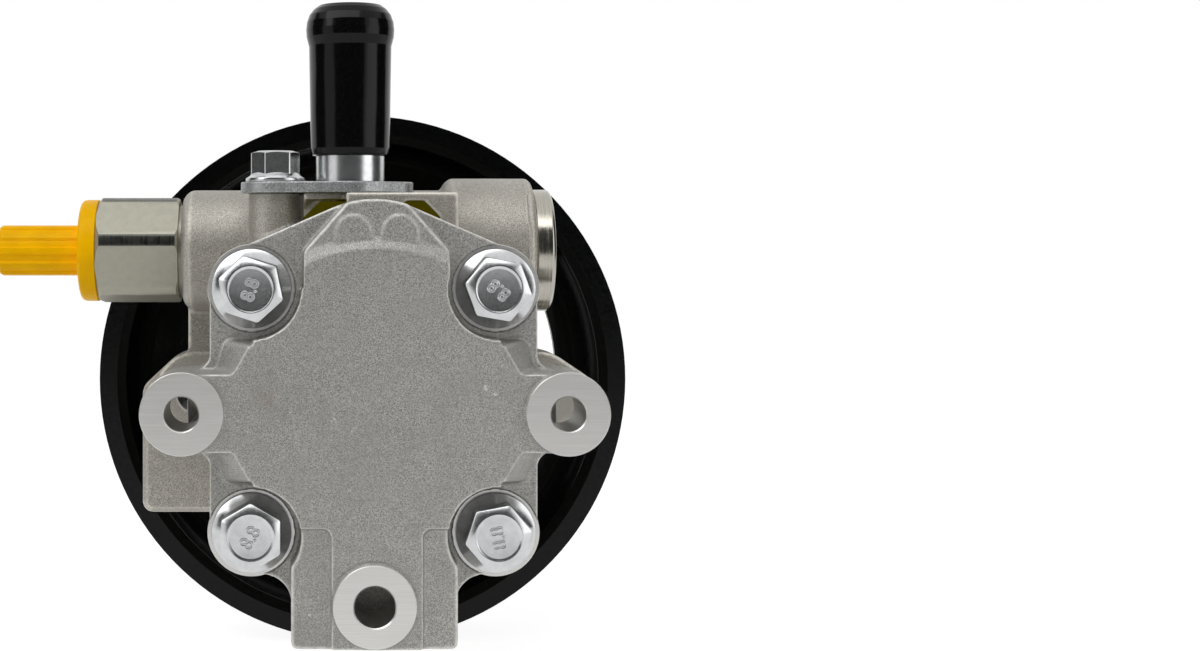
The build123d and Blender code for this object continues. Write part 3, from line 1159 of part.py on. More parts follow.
def make_suction_pipe():
    """Steel pipe with a collar, a hose bead and a sealed spigot, its plate, ring, bolt and cap."""
    root = SPIGOT_RADIUS - SUCTION_SEAL_SECTION
    groove_low = SPIGOT_BOTTOM_Z + 1.2
    groove_high = groove_low + SUCTION_SEAL_SECTION * 1.3
    pipe = turned(
        PIPE_LINE,
        (SPIGOT_BOTTOM_Z, root - 1),
        (SPIGOT_BOTTOM_Z, SPIGOT_RADIUS),
        (groove_low, SPIGOT_RADIUS),
        (groove_low, root),
        (groove_high, root),
        (groove_high, SPIGOT_RADIUS),
        (PLATE_TOP_Z, SPIGOT_RADIUS),
        (PLATE_TOP_Z, PIPE_COLLAR_RADIUS),
        (PIPE_COLLAR_TOP_Z, PIPE_COLLAR_RADIUS),
        (PIPE_COLLAR_TOP_Z, PIPE_TUBE_RADIUS),
        (PIPE_BEAD_Z - PIPE_BEAD_HALF_WIDTH, PIPE_TUBE_RADIUS),
        (PIPE_BEAD_Z - PIPE_BEAD_HALF_WIDTH * 0.4, PIPE_BEAD_RADIUS),
        (PIPE_BEAD_Z + PIPE_BEAD_HALF_WIDTH * 0.4, PIPE_BEAD_RADIUS),
        (PIPE_BEAD_Z + PIPE_BEAD_HALF_WIDTH, PIPE_TUBE_RADIUS),
        (PIPE_TOP_Z, PIPE_TUBE_RADIUS),
        (PIPE_TOP_Z, PIPE_BORE_RADIUS),
        (PLATE_TOP_Z, PIPE_BORE_RADIUS),
        (PAD_TOP_Z, root - 1),
    )
    plate_face = outline_of_circles(
        (COLUMN_X, PIPE_Y, PLATE_BOLT_END_RADIUS),
        (PIPE_X, PIPE_Y, PLATE_HALF_DEPTH),
        (PLATE_FAR_X - PLATE_FAR_RADIUS, PIPE_Y, PLATE_FAR_RADIUS),
        (PIPE_X, PIPE_Y, PLATE_HALF_DEPTH),
    )
    plate_face -= Pos(PIPE_X, PIPE_Y) * Circle(SPIGOT_RADIUS)
    plate_face -= Pos(COLUMN_X, PIPE_Y) * Circle(PIPE_BOLT_THREAD / 2 + SCREW_HOLE_GAP)
    bolt = flange_bolt(
        PIPE_BOLT_ACROSS_FLATS,
        PIPE_BOLT_FLANGE,
        PIPE_BOLT_HEAD_HEIGHT,
        PIPE_BOLT_THREAD,
        PIPE_BOLT_LENGTH,
        PIPE_BOLT_TURN,
    )
    seal_z = (groove_low + groove_high) / 2
    return {
        "suction_pipe": pipe,
        "pipe_flange_plate": extrude(Plane.XY.offset(PAD_TOP_Z) * plate_face, PLATE_THICKNESS),
        "pipe_flange_bolt": Pos(COLUMN_X, PIPE_Y, PLATE_TOP_Z) * bolt,
        "suction_seal_ring": seal_ring(
            PIPE_LINE, seal_z, root + SUCTION_SEAL_SECTION / 2, SUCTION_SEAL_SECTION
        ),
        "pipe_cap": make_pipe_cap(),
    }


def make_pipe_cap():
    """Soft transport cap with a bulge where it passes the hose bead and a rounded top."""
    bead_low = PIPE_BEAD_Z - CAP_BEAD_HALF_WIDTH
    bead_high = PIPE_BEAD_Z + CAP_BEAD_HALF_WIDTH * 0.9
    shoulder = CAP_TOP_Z - CAP_TOP_RADIUS
    flat = CAP_SIDE_RADIUS - CAP_TOP_RADIUS
    bend = CAP_TOP_RADIUS * (1 - cos(pi / 4))
    edges = [
        Line((CAP_BOTTOM_Z, CAP_BORE_RADIUS), (CAP_BOTTOM_Z, CAP_MOUTH_RADIUS)),
        Line((CAP_BOTTOM_Z, CAP_MOUTH_RADIUS), (bead_low, CAP_SIDE_RADIUS)),
        ThreePointArc(
            (bead_low, CAP_SIDE_RADIUS), (PIPE_BEAD_Z, CAP_BEAD_RADIUS), (bead_high, CAP_SIDE_RADIUS)
        ),
        Line((bead_high, CAP_SIDE_RADIUS), (shoulder, CAP_SIDE_RADIUS)),
        ThreePointArc(
            (shoulder, CAP_SIDE_RADIUS),
            (CAP_TOP_Z - bend, CAP_SIDE_RADIUS - bend),
            (CAP_TOP_Z, flat),
        ),
        Line((CAP_TOP_Z, flat), (CAP_TOP_Z, 0)),
        Line((CAP_TOP_Z, 0), (CAP_TOP_Z - CAP_TOP_WALL, 0)),
        Line((CAP_TOP_Z - CAP_TOP_WALL, 0), (CAP_TOP_Z - CAP_TOP_WALL, CAP_BORE_RADIUS)),
        Line((CAP_TOP_Z - CAP_TOP_WALL, CAP_BORE_RADIUS), (CAP_BOTTOM_Z, CAP_BORE_RADIUS)),
    ]
    return revolve(PIPE_LINE * make_face(edges), Axis(PIPE_LINE.origin, PIPE_LINE.x_dir))


def make_cover_bolts():
    """Four cover bolts as separate solids, each head turned its own way."""
    bolts = []
    for (x, z), turn in zip(BOLT_PLACES, BOLT_TURNS):
        bolt = flange_bolt(
            BOLT_ACROSS_FLATS, BOLT_FLANGE, BOLT_HEAD_HEIGHT, BOLT_THREAD, BOLT_LENGTH, turn
        )
        spot = Plane(origin=(x, BOLT_SEAT_Y, z), x_dir=(1, 0, 0), z_dir=(0, -1, 0))
        bolts.append(spot * bolt)
    return Compound(children=bolts)


def main():
    """Builds every piece and writes one file for each."""
    pieces = {
        "rear_cover": make_rear_cover(),
        "pump_body": make_pump_body(),
        "cover_bolts": make_cover_bolts(),
        "pulley": make_pulley(),
        "pulley_hub": make_pulley_hub(),
    }
    pieces.update(make_cartridge())
    pieces.update(make_rotor_group())
    pieces.update(make_bushes_and_seal())
    pieces.update(make_outlet())
    pieces.update(make_end_plug())
    pieces.update(make_control_valve())
    pieces.update(make_suction_pipe())
    os.makedirs("parts", exist_ok=True)
    for name, shape in pieces.items():
        export_step(shape, f"parts/{name}.step")


main()
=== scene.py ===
import json
import math

import bmesh
import bpy
from bpy.props import FloatProperty, FloatVectorProperty, IntProperty, PointerProperty, StringProperty
from mathutils import Matrix, Vector

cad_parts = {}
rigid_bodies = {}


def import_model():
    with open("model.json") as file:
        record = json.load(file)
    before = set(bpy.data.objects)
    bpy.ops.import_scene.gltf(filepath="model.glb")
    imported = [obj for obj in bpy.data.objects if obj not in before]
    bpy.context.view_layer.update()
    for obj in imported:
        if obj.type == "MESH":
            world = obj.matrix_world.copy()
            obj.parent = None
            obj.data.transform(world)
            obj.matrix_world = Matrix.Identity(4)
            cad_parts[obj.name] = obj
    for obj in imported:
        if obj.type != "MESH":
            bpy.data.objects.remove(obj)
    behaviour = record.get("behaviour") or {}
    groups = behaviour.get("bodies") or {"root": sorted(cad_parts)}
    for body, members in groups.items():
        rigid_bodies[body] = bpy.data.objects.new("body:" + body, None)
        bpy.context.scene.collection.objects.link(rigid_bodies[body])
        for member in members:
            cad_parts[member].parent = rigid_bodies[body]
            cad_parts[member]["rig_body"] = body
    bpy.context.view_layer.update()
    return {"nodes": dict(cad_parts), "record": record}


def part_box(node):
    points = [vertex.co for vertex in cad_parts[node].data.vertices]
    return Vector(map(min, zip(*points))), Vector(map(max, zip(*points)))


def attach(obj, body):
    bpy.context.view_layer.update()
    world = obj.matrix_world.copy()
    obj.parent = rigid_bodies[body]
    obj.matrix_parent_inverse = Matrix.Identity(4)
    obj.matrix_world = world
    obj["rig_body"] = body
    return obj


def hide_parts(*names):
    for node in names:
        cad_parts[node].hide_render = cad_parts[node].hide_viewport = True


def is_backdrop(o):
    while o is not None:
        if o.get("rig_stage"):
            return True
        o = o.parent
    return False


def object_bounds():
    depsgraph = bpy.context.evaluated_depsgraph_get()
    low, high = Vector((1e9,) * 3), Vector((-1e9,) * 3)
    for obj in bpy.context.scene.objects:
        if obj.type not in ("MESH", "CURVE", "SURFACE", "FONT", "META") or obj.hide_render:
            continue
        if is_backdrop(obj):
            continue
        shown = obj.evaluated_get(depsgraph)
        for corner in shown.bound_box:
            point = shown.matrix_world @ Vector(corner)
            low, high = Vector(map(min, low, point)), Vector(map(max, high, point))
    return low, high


bl_info = {
    "name": "Steering pump dressing",
    "version": (1, 0, 0),
    "blender": (4, 5, 0),
    "location": "View3D > Sidebar > Steering pump",
    "description": "Dresses the packed steering pump: castings, bolts, ports, pulley and stage",
    "category": "Object",
}

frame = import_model()

MM = 0.001


# Nodes

class Value:
    """A socket that can stand in a sum. Each sum adds its Math node."""

    def __init__(self, sheet, socket):
        self.sheet = sheet
        self.socket = socket

    def _sum(self, operation, *terms, clamp=False):
        values = {i: term for i, term in enumerate(terms)}
        return self.sheet.node("ShaderNodeMath", {"operation": operation, "use_clamp": clamp}, values)

    def __add__(self, other):
        return self._sum("ADD", self, other)

    __radd__ = __add__

    def __sub__(self, other):
        return self._sum("SUBTRACT", self, other)

    def __rsub__(self, other):
        return self._sum("SUBTRACT", other, self)

    def __mul__(self, other):
        return self._sum("MULTIPLY", self, other)

    __rmul__ = __mul__

    def __truediv__(self, other):
        return self._sum("DIVIDE", self, other)

    def __rtruediv__(self, other):
        return self._sum("DIVIDE", other, self)

    def __pow__(self, other):
        return self._sum("POWER", self, other)

    def __abs__(self):
        return self._sum("ABSOLUTE", self)

    def __lt__(self, other):
        return self._sum("LESS_THAN", self, other)

    def __gt__(self, other):
        return self._sum("GREATER_THAN", self, other)

    def clamped(self):
        return self._sum("ADD", self, 0.0, clamp=True)


class Sheet:
    """A node tree being written. Every node comes from one method."""

    def __init__(self, tree):
        self.tree = tree

    def node(self, kind, settings=None, values=None, out=0):
        """Adds a node: its settings first, then the values or links of its sockets."""
        made = self.tree.nodes.new(kind)
        for key, setting in (settings or {}).items():
            setattr(made, key, setting)
        for key, value in (values or {}).items():
            if isinstance(value, Value):
                self.tree.links.new(value.socket, made.inputs[key])
            else:
                made.inputs[key].default_value = value
        return Value(self, made.outputs[out]) if made.outputs else None


class Paint(Sheet):
    """A material being mixed. Its x, y and z are the piece's own place in millimetres."""

    def __init__(self, name, roughness=0.5, metallic=0.0):
        self.material = bpy.data.materials.new(name)
        self.material.use_nodes = True
        super().__init__(self.material.node_tree)
        self.shader = self.tree.nodes["Principled BSDF"]
        self.set("Roughness", roughness)
        self.set("Metallic", metallic)
        values = {0: self.node("ShaderNodeTexCoord", out="Object"), "Scale": 1 / MM}
        self.place = self.node("ShaderNodeVectorMath", {"operation": "SCALE"}, values)
        apart = self.node("ShaderNodeSeparateXYZ", values={0: self.place}).socket.node
        self.x, self.y, self.z = (Value(self, apart.outputs[i]) for i in range(3))

    def noise(self, scale, detail=2.0, rough=0.5, stretch=None, distortion=0.0):
        """Noise with features of about 1 / scale millimetres, squeezed along the axes by stretch."""
        place = self.place
        if stretch:
            place = self.node("ShaderNodeVectorMath", {"operation": "MULTIPLY"}, {0: place, 1: stretch})
        values = {"Scale": scale, "Detail": detail, "Roughness": rough, "Distortion": distortion}
        return self.node("ShaderNodeTexNoise", {"noise_dimensions": "3D"}, {"Vector": place, **values})

    def ramp(self, value, low, high, to_low=0.0, to_high=1.0):
        """Value turned from one range into another, and kept inside it."""
        values = {"Value": value, "From Min": low, "From Max": high, "To Min": to_low, "To Max": to_high}
        return self.node("ShaderNodeMapRange", {"interpolation_type": "SMOOTHSTEP"}, values)

    def mix(self, factor, first, second):
        """Colour between two colours."""
        first, second = (c if isinstance(c, Value) else (*c, 1.0) for c in (first, second))
        settings = {"data_type": "RGBA", "blend_type": "MIX", "clamp_factor": True}
        return self.node("ShaderNodeMix", settings, {0: factor, 6: first, 7: second}, out=2)

    def set(self, socket, value):
        """Feeds one socket of the shader."""
        if isinstance(value, Value):
            self.tree.links.new(value.socket, self.shader.inputs[socket])
        else:
            self.shader.inputs[socket].default_value = value

    def glow(self, colour):
        """Faint glow that stands for the light inside a finish."""
        self.set("Emission Color", (*colour, 1.0))
        self.set("Emission Strength", 1.0)

    def bump(self, height, depth):
        """Relief from a height, with the depth in millimetres."""
        values = {"Height": height, "Strength": 1.0, "Distance": depth * MM}
        self.set("Normal", self.node("ShaderNodeBump", values=values))


# Meshes

WELD = 0.002 * MM
FLAT = math.radians(0.8)
SHARP = math.radians(32.0)
RIM_ROUNDS = 8
CORNER_STEPS = 6


def new_piece(name, mesh):
    """Links an object that carries a finished mesh."""
    piece = bpy.data.objects.new(name, mesh)
    bpy.context.scene.collection.objects.link(piece)
    return piece


def shaped(name, shape):
    """Links an object made from a finished bmesh."""
    mesh = bpy.data.meshes.new(name)
    shape.to_mesh(mesh)
    shape.free()
    return new_piece(name, mesh)


def welded_copy(node, name):
    """Copy of a CAD node with its triangles welded and its flat faces made whole."""
    shape = bmesh.new()
    shape.from_mesh(frame["nodes"][node].data)
    bmesh.ops.remove_doubles(shape, verts=shape.verts, dist=WELD)
    bmesh.ops.dissolve_limit(shape, angle_limit=FLAT, verts=shape.verts, edges=shape.edges)
    piece = shaped(name, shape)
    layers = piece.data.attributes
    for layer in ("custom_normal", "sharp_edge", "sharp_face"):
        if layer in layers:
            layers.remove(layers[layer])
    return piece


def smooth(piece, angle):
    """Smooth shading with sharp edges above an angle in degrees."""
    piece.data.shade_smooth()
    piece.data.set_sharp_from_angle(angle=math.radians(angle))


def round_edges(piece, width):
    """Rounds the sharp edges by a width in millimetres."""
    shape = bmesh.new()
    shape.from_mesh(piece.data)
    weights = shape.edges.layers.float.new("bevel_weight_edge")
    for edge in shape.edges:
        if len(edge.link_faces) == 2 and edge.calc_face_angle(0) >= SHARP:
            edge[weights] = 1.0
    shape.to_mesh(piece.data)
    shape.free()
    piece.data.shade_smooth()
    bevel = piece.modifiers.new("Rounded edges", "BEVEL")
    bevel.width = width * MM
    bevel.segments = 3
    bevel.limit_method = "WEIGHT"
    bevel.use_clamp_overlap = True
    bevel.harden_normals = True
    bevel.miter_outer = "MITER_ARC"
    settle(piece)


def relax(piece, rounds):
    """Adds a modifier that evens the mesh out some rounds."""
    modifier = piece.modifiers.new("Relaxed", "SMOOTH")
    modifier.factor = 0.5
    modifier.iterations = rounds
    return modifier


def cast_skin(node, name, cube, rounds, share, faces):
    """Copy of a CAD node rebuilt from small cubes and relaxed, so that its edges are rounded as cast.

    The share says how far the relaxing reaches each place, from 0 for none to 1.
    """
    piece = welded_copy(node, name)
    cubes = piece.modifiers.new("Cubes", "REMESH")
    cubes.mode = "VOXEL"
    cubes.voxel_size = cube * MM
    settle(piece)
    mark_rims(piece)
    group = piece.vertex_groups.new(name="relaxed")
    for vertex in piece.data.vertices:
        group.add((vertex.index,), share(vertex.co / MM), "REPLACE")
    relax(piece, rounds).vertex_group = group.name
    thin = piece.modifiers.new("Thinned", "DECIMATE")
    thin.ratio = min(1.0, faces / (2 * len(piece.data.polygons)))
    settle(piece)
    return piece


def mark_rims(piece):
    """Keeps how far each vertex stands out of its surroundings, in millimetres, as the attribute rim."""
    probe = new_piece("probe", piece.data.copy())
    relax(probe, RIM_ROUNDS)
    settle(probe)
    pairs = zip(piece.data.vertices, probe.data.vertices)
    heights = [(vertex.co - relaxed.co).dot(vertex.normal) / MM for vertex, relaxed in pairs]
    piece.data.attributes.new("rim", "FLOAT", "POINT").data.foreach_set("value", heights)
    bpy.data.objects.remove(probe)


def joined(name, pieces):
    """One piece made from several, each with its own materials."""
    shape = bmesh.new()
    materials = []
    for piece in pieces:
        start = len(shape.faces)
        shape.from_mesh(piece.data)
        shape.faces.ensure_lookup_table()
        for face in shape.faces[start:]:
            face.material_index += len(materials)
        materials += piece.data.materials
        bpy.data.objects.remove(piece)
    whole = shaped(name, shape)
    for material in materials:
        whole.data.materials.append(material)
    return whole


def settle(piece):
    """Turns a piece and its modifiers into a plain mesh."""
    graph = bpy.context.evaluated_depsgraph_get()
    mesh = bpy.data.meshes.new_from_object(piece.evaluated_get(graph), depsgraph=graph)
    piece.modifiers.clear()
    old = piece.data
    piece.data = mesh
    bpy.data.meshes.remove(old)
    mesh.name = piece.name


def ring_faces(shape, first, second):
    """Faces between two rings of corners, either of which may be a single point."""
    steps = max(len(first), len(second))
    for i in range(steps if steps > 1 else 0):
        j = (i + 1) % steps
        corners = [first[i % len(first)], first[j % len(first)]]
        corners += [second[j % len(second)], second[i % len(second)]]
        shape.faces.new(list(dict.fromkeys(corners)))


def lathe(name, axis, profile, steps=96):
    """Closed solid turned from (along, radius) points in millimetres round an axis matrix."""
    turns = [2 * math.pi * i / steps for i in range(steps)]
    shape = bmesh.new()
    rings = []
    for along, radius in profile:
        rings.append([
            shape.verts.new((along * MM, radius * MM * math.cos(turn), radius * MM * math.sin(turn)))
            for turn in (turns if radius > 0 else turns[:1])
        ])
    for first, second in zip(rings, rings[1:] + rings[:1]):
        ring_faces(shape, first, second)
    bmesh.ops.recalc_face_normals(shape, faces=shape.faces)
    shape.transform(axis)
    return shaped(name, shape)


def rounded(points, radii):
    """Profile whose corners are rounded by radii given for each point, 0 for a sharp one."""
    made = []
    for i, (point, radius) in enumerate(zip(points, radii)):
        here = Vector(point)
        if radius <= 0:
            made.append(tuple(here))
            continue
        before = (Vector(points[i - 1]) - here).normalized()
        after = (Vector(points[(i + 1) % len(points)]) - here).normalized()
        reach = radius / math.tan(before.angle(after) / 2)
        start, end = here + before * reach, here + after * reach
        for k in range(CORNER_STEPS + 1):
            t = k / CORNER_STEPS
            made.append(tuple(start * (1 - t) ** 2 + here * 2 * t * (1 - t) + end * t ** 2))
    return made


def line_along_x(y, z):
    """Axis matrix for a line along X at a place in millimetres."""
    return Matrix.Translation((0, y * MM, z * MM))


def line_along_y(x, z):
    """Axis matrix for a line along Y at a place in millimetres."""
    return Matrix.Translation((x * MM, 0, z * MM)) @ Matrix.Rotation(math.pi / 2, 4, "Z")


def line_along_z(x, y):
    """Axis matrix for a line along Z at a place in millimetres."""
    turn = Matrix(((0, 0, 1, 0), (0, 1, 0, 0), (1, 0, 0, 0), (0, 0, 0, 1)))
    return Matrix.Translation((x * MM, y * MM, 0)) @ turn


def box_of(node):
    """Lowest and highest corner of a CAD node, in millimetres."""
    low, high = (Vector(corner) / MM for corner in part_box(node))
    return low, high


def paint_faces(piece, materials, choose=lambda middle, normal: 0):
    """Gives each face one of the materials, by a function of its middle in millimetres and normal."""
    for material in materials:
        piece.data.materials.append(material)
    for face in piece.data.polygons:
        face.material_index = choose(Vector(face.center) / MM, face.normal)


def hand_over(piece, node, stands_in=True):
    """Ties a finished piece to a CAD node's body, and mostly stands it in for that node."""
    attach(piece, frame["nodes"][node]["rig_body"])
    if stands_in:
        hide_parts(node)


def new_tree(name, sockets):
    """Geometry Nodes tree with inputs given by name and kind: its sheet, and the inputs as values."""
    tree = bpy.data.node_groups.new(name, "GeometryNodeTree")
    for key, kind in sockets.items():
        tree.interface.new_socket(key, in_out="INPUT", socket_type="NodeSocket" + kind)
    tree.interface.new_socket("Geometry", in_out="OUTPUT", socket_type="NodeSocketGeometry")
    sheet = Sheet(tree)
    inputs = tree.nodes.new("NodeGroupInput")
    return sheet, {socket.name: Value(sheet, socket) for socket in inputs.outputs if socket.name}


def end_tree(sheet, copies, finish):
    """Ends a tree with its copies made real and given their finish."""
    real = sheet.node("GeometryNodeRealizeInstances", values={"Geometry": copies})
    done = sheet.node("GeometryNodeSetMaterial", values={"Geometry": real, "Material": finish})
    sheet.node("NodeGroupOutput", values={0: done})
    return sheet.tree


def grow(piece, tree, finish, inputs):
    """Runs a tree with its inputs, given by name, on a piece, and keeps the result as a plain mesh."""
    modifier = piece.modifiers.new(tree.name, "NODES")
    modifier.node_group = tree
    given = {"Finish": finish, **inputs}
    for item in tree.interface.items_tree:
        if item.in_out == "INPUT" and item.name in given:
            modifier[item.identifier] = given[item.name]
    settle(piece)
    piece.data.materials.clear()
    piece.data.materials.append(finish)


# Materials, with their places in millimetres

COVER_FRONT_Y = 3.0
STAIN_MIDDLE = (-19.0, 2.5)
STAIN_REACH = (13.0, 6.5)
SEAM_X = 38.0
SEAM_SWAY = 3.0
SEAM_FOOT_Z = 24.0
SEAM_START_Y = 22.0


def cast_aluminium(name, tint, marks):
    """Blasted casting with a sparkling grain, soft mottling, painted highlights on its edges and painted
    shade in its hollows.

    The marks are a function that adds what one casting has by itself. It gets the paint, its colour and the
    casting's own colour, and gives back the new colour and a relief to add to the grain.
    """
    settings = bpy.context.scene.pump_castings
    paint = Paint(name, roughness=0.5, metallic=0.62)
    base = Vector([part * share for part, share in zip(settings.colour, tint)])
    grain = paint.noise(settings.grain, detail=5.0, rough=0.75)
    pits = paint.noise(settings.grain * 0.45, detail=2.0, rough=0.5)
    cloud = paint.noise(0.11, detail=3.0, rough=0.55)
    specks = paint.noise(settings.grain * 0.8, detail=1.0)
    colour = paint.mix(paint.ramp(grain, 0.38, 0.62), base * 0.5, base * 1.55)
    colour = paint.mix(paint.ramp(specks, 0.66, 0.76, 0.0, 0.7), colour, base * 2.1)
    colour = paint.mix(paint.ramp(cloud, 0.35, 0.7, 0.0, 0.35), colour, base * 0.86)
    # Painted highlight and painted shade: the rim attribute lightens edges that stand out and darkens
    # hollows.
    rim = paint.node("ShaderNodeAttribute", {"attribute_name": "rim"}, out="Fac")
    edge_highlight = paint.ramp(rim, 0.015, 0.12) * paint.ramp(paint.noise(0.8, detail=3.0), 0.3, 0.6, 0.55, 1.0)
    colour = paint.mix(edge_highlight * settings.rim_light_and_shade, colour, base * 2.2)
    colour = paint.mix(paint.ramp(rim, -0.015, -0.14) * settings.rim_light_and_shade, colour, base * 0.45)
    colour, relief = marks(paint, colour, base)
    paint.set("Base Color", colour)
    paint.set("Roughness", paint.ramp(cloud + grain * 0.4, 0.5, 0.95, 0.44, 0.56))
    paint.bump(grain * 0.8 + pits * 0.5 + relief, settings.grain_depth)
    return paint.material


def cover_marks(paint, colour, base):
    """Brown stains and short curved scratches."""
    settings = bpy.context.scene.pump_castings
    front = paint.y < COVER_FRONT_Y
    across = (paint.x - STAIN_MIDDLE[0]) / STAIN_REACH[0]
    up = (paint.z - STAIN_MIDDLE[1]) / STAIN_REACH[1]
    near = (across ** 2 + up ** 2) ** 0.5
    patch = paint.ramp(near, 1.0, 0.2) * paint.ramp(paint.noise(0.32, detail=4.0, rough=0.7), 0.45, 0.66)
    flecks = paint.ramp(paint.noise(0.9, detail=3.0, rough=0.6), 0.64, 0.76) * 0.1
    stain = ((patch + flecks) * settings.stain).clamped()
    colour = paint.mix(stain * front, colour, settings.stain_colour)
    thread = paint.ramp(abs(paint.noise(0.3, detail=0.0, distortion=1.4) - 0.5), 0.006, 0.002)
    thread = thread * paint.ramp(paint.noise(0.13, detail=1.0), 0.56, 0.62) * front
    return paint.mix(thread * 0.8, colour, base * 1.9), thread * -1.0


def body_marks(paint, colour, base):
    """The thin seam that the mould left near the closed end of the valve housing."""
    path = paint.x - SEAM_X + (paint.noise(0.12, detail=2.0) - 0.5) * SEAM_SWAY
    seam = paint.ramp(abs(path), 0.45, 0.1) * (paint.z > SEAM_FOOT_Z) * (paint.y > SEAM_START_Y)
    return paint.mix(seam * 0.35, colour, base * 1.6), seam * 2.0


def machined_face():
    """Milled aluminium face with fine straight tool lines."""
    settings = bpy.context.scene.pump_castings
    paint = Paint("Milled face", roughness=0.34, metallic=0.9)
    base = Vector(settings.milled_colour)
    lines = paint.noise(1.0, detail=3.0, rough=0.6, stretch=(0.05, 0.3, 5.5))
    broad = paint.noise(0.2, detail=2.0, stretch=(0.3, 1.0, 2.2))
    colour = paint.mix(paint.ramp(lines, 0.3, 0.7), base * 0.93, base * 1.06)
    paint.set("Base Color", paint.mix(paint.ramp(broad, 0.4, 0.7, 0.0, 0.3), colour, base * 0.9))
    paint.set("Roughness", paint.ramp(lines, 0.25, 0.75, 0.3, 0.42))
    paint.bump(lines, 0.012)
    return paint.material


def bore_wall():
    """Drilled wall with fine rings across the hole."""
    settings = bpy.context.scene.pump_castings
    paint = Paint("Drilled wall", roughness=0.3, metallic=1.0)
    base = Vector(settings.milled_colour)
    rings = paint.noise(1.0, detail=2.0, stretch=(0.1, 5.0, 0.1))
    paint.set("Base Color", paint.mix(paint.ramp(rings, 0.3, 0.7), base * 0.78, base * 0.95))
    paint.bump(rings, 0.02)
    return paint.material


def pocket_floor():
    """Dark olive sheet laid as painted shade in the shallow pocket under the pad, with a faint painted glow.
    """
    paint = Paint("Oily pocket", roughness=0.45)
    paint.set("Specular IOR Level", 0.1)
    cloud = paint.noise(0.35, detail=3.0)
    colour = paint.mix(paint.ramp(cloud, 0.35, 0.7), (0.05, 0.045, 0.0), (0.08, 0.07, 0.001))
    paint.set("Base Color", colour)
    # Painted light: a faint glow lights the sheet in the pocket's shade.
    paint.glow((0.04, 0.034, 0.0))
    paint.bump(paint.noise(2.0, detail=2.0), 0.03)
    return paint.material


def bright_zinc():
    """Bright smooth zinc plate, as on new bolts."""
    settings = bpy.context.scene.pump_fasteners
    paint = Paint("Bright zinc", roughness=0.2, metallic=1.0)
    base = Vector(settings.colour)
    cloud = paint.noise(0.35, detail=2.0)
    fine = paint.noise(2.8, detail=3.0, rough=0.6)
    paint.set("Base Color", paint.mix(paint.ramp(cloud + fine * 0.3, 0.4, 0.85), base * 0.9, base * 1.04))
    paint.set("Roughness", paint.ramp(fine, 0.3, 0.7, 0.2, 0.27))
    paint.bump(fine, 0.005)
    return paint.material


def zinc_sheet():
    """Grainy zinc plate of pressed sheet, with bright specks."""
    settings = bpy.context.scene.pump_fasteners
    paint = Paint("Zinc sheet", roughness=0.36, metallic=0.8)
    base = Vector(settings.colour)
    grain = paint.noise(2.6, detail=4.0, rough=0.7)
    patches = paint.noise(0.3, detail=2.0, stretch=(1.0, 1.0, 0.4))
    colour = paint.mix(paint.ramp(grain, 0.38, 0.62), base * 0.5, base * 1.2)
    paint.set("Base Color", paint.mix(paint.ramp(patches, 0.4, 0.65, 0.0, 0.6), colour, base * 0.5))
    paint.set("Roughness", paint.ramp(grain, 0.3, 0.7, 0.46, 0.3))
    paint.bump(grain, 0.06)
    return paint.material


def satin_plate():
    """Satin grey plate of the union's flats, with faint blotches."""
    settings = bpy.context.scene.pump_ports
    paint = Paint("Satin plate", roughness=0.42, metallic=0.6)
    base = Vector(settings.union_colour)
    cloud = paint.noise(0.5, detail=4.0, rough=0.65)
    fine = paint.noise(2.4, detail=3.0, rough=0.6)
    colour = paint.mix(paint.ramp(cloud, 0.35, 0.68), base * 0.94, base * 1.05)
    paint.set("Base Color", paint.mix(paint.ramp(fine, 0.58, 0.76, 0.0, 0.25), colour, base * 0.74))
    paint.set("Roughness", paint.ramp(cloud, 0.3, 0.7, 0.38, 0.48))
    paint.bump(fine, 0.015)
    return paint.material


def turned_steel(name="Turned steel", colour=(0.62, 0.6, 0.56), roughness=0.27, along="y"):
    """Turned or ground steel whose tool rings lie across a line."""
    paint = Paint(name, roughness=roughness, metallic=1.0)
    base = Vector(colour)
    stretch = [4.5 if axis == along else 0.12 for axis in "xyz"]
    rings = paint.noise(1.0, detail=3.0, rough=0.6, stretch=stretch)
    cloud = paint.noise(0.4, detail=2.0)
    paint.set("Base Color", paint.mix(paint.ramp(rings, 0.3, 0.7), base * 0.86, base * 1.06))
    paint.set("Roughness", paint.ramp(rings + cloud * 0.6, 0.5, 1.1, roughness - 0.07, roughness + 0.1))
    paint.bump(rings, 0.01)
    return paint.material


def black_enamel():
    """Gloss black paint with a faint orange peel and a little dust."""
    settings = bpy.context.scene.pump_drive
    paint = Paint("Gloss black", roughness=0.2)
    paint.set("Specular IOR Level", 0.16)
    base = Vector(settings.colour)
    peel = paint.noise(0.9, detail=2.0)
    dust = paint.ramp(paint.noise(2.6, detail=4.0, rough=0.7), 0.6, 0.78, 0.0, 0.05)
    paint.set("Base Color", paint.mix(dust, base, (0.05, 0.055, 0.05)))
    paint.set("Roughness", paint.ramp(peel, 0.3, 0.7, 0.16, 0.27))
    paint.bump(peel, 0.008)
    return paint.material


def cap_plastic():
    """Glossy black soft plastic with slow waves."""
    settings = bpy.context.scene.pump_ports
    paint = Paint("Cap plastic", roughness=0.2)
    paint.set("Specular IOR Level", 0.17)
    base = Vector(settings.cap_colour)
    waves = paint.noise(0.12, detail=1.0, stretch=(1.0, 1.0, 0.4))
    fine = paint.noise(1.6, detail=3.0)
    paint.set("Base Color", paint.mix(paint.ramp(fine, 0.4, 0.7), base * 0.8, base * 1.3))
    paint.set("Roughness", paint.ramp(fine, 0.3, 0.7, 0.14, 0.18))
    paint.bump(waves, 0.25)
    return paint.material


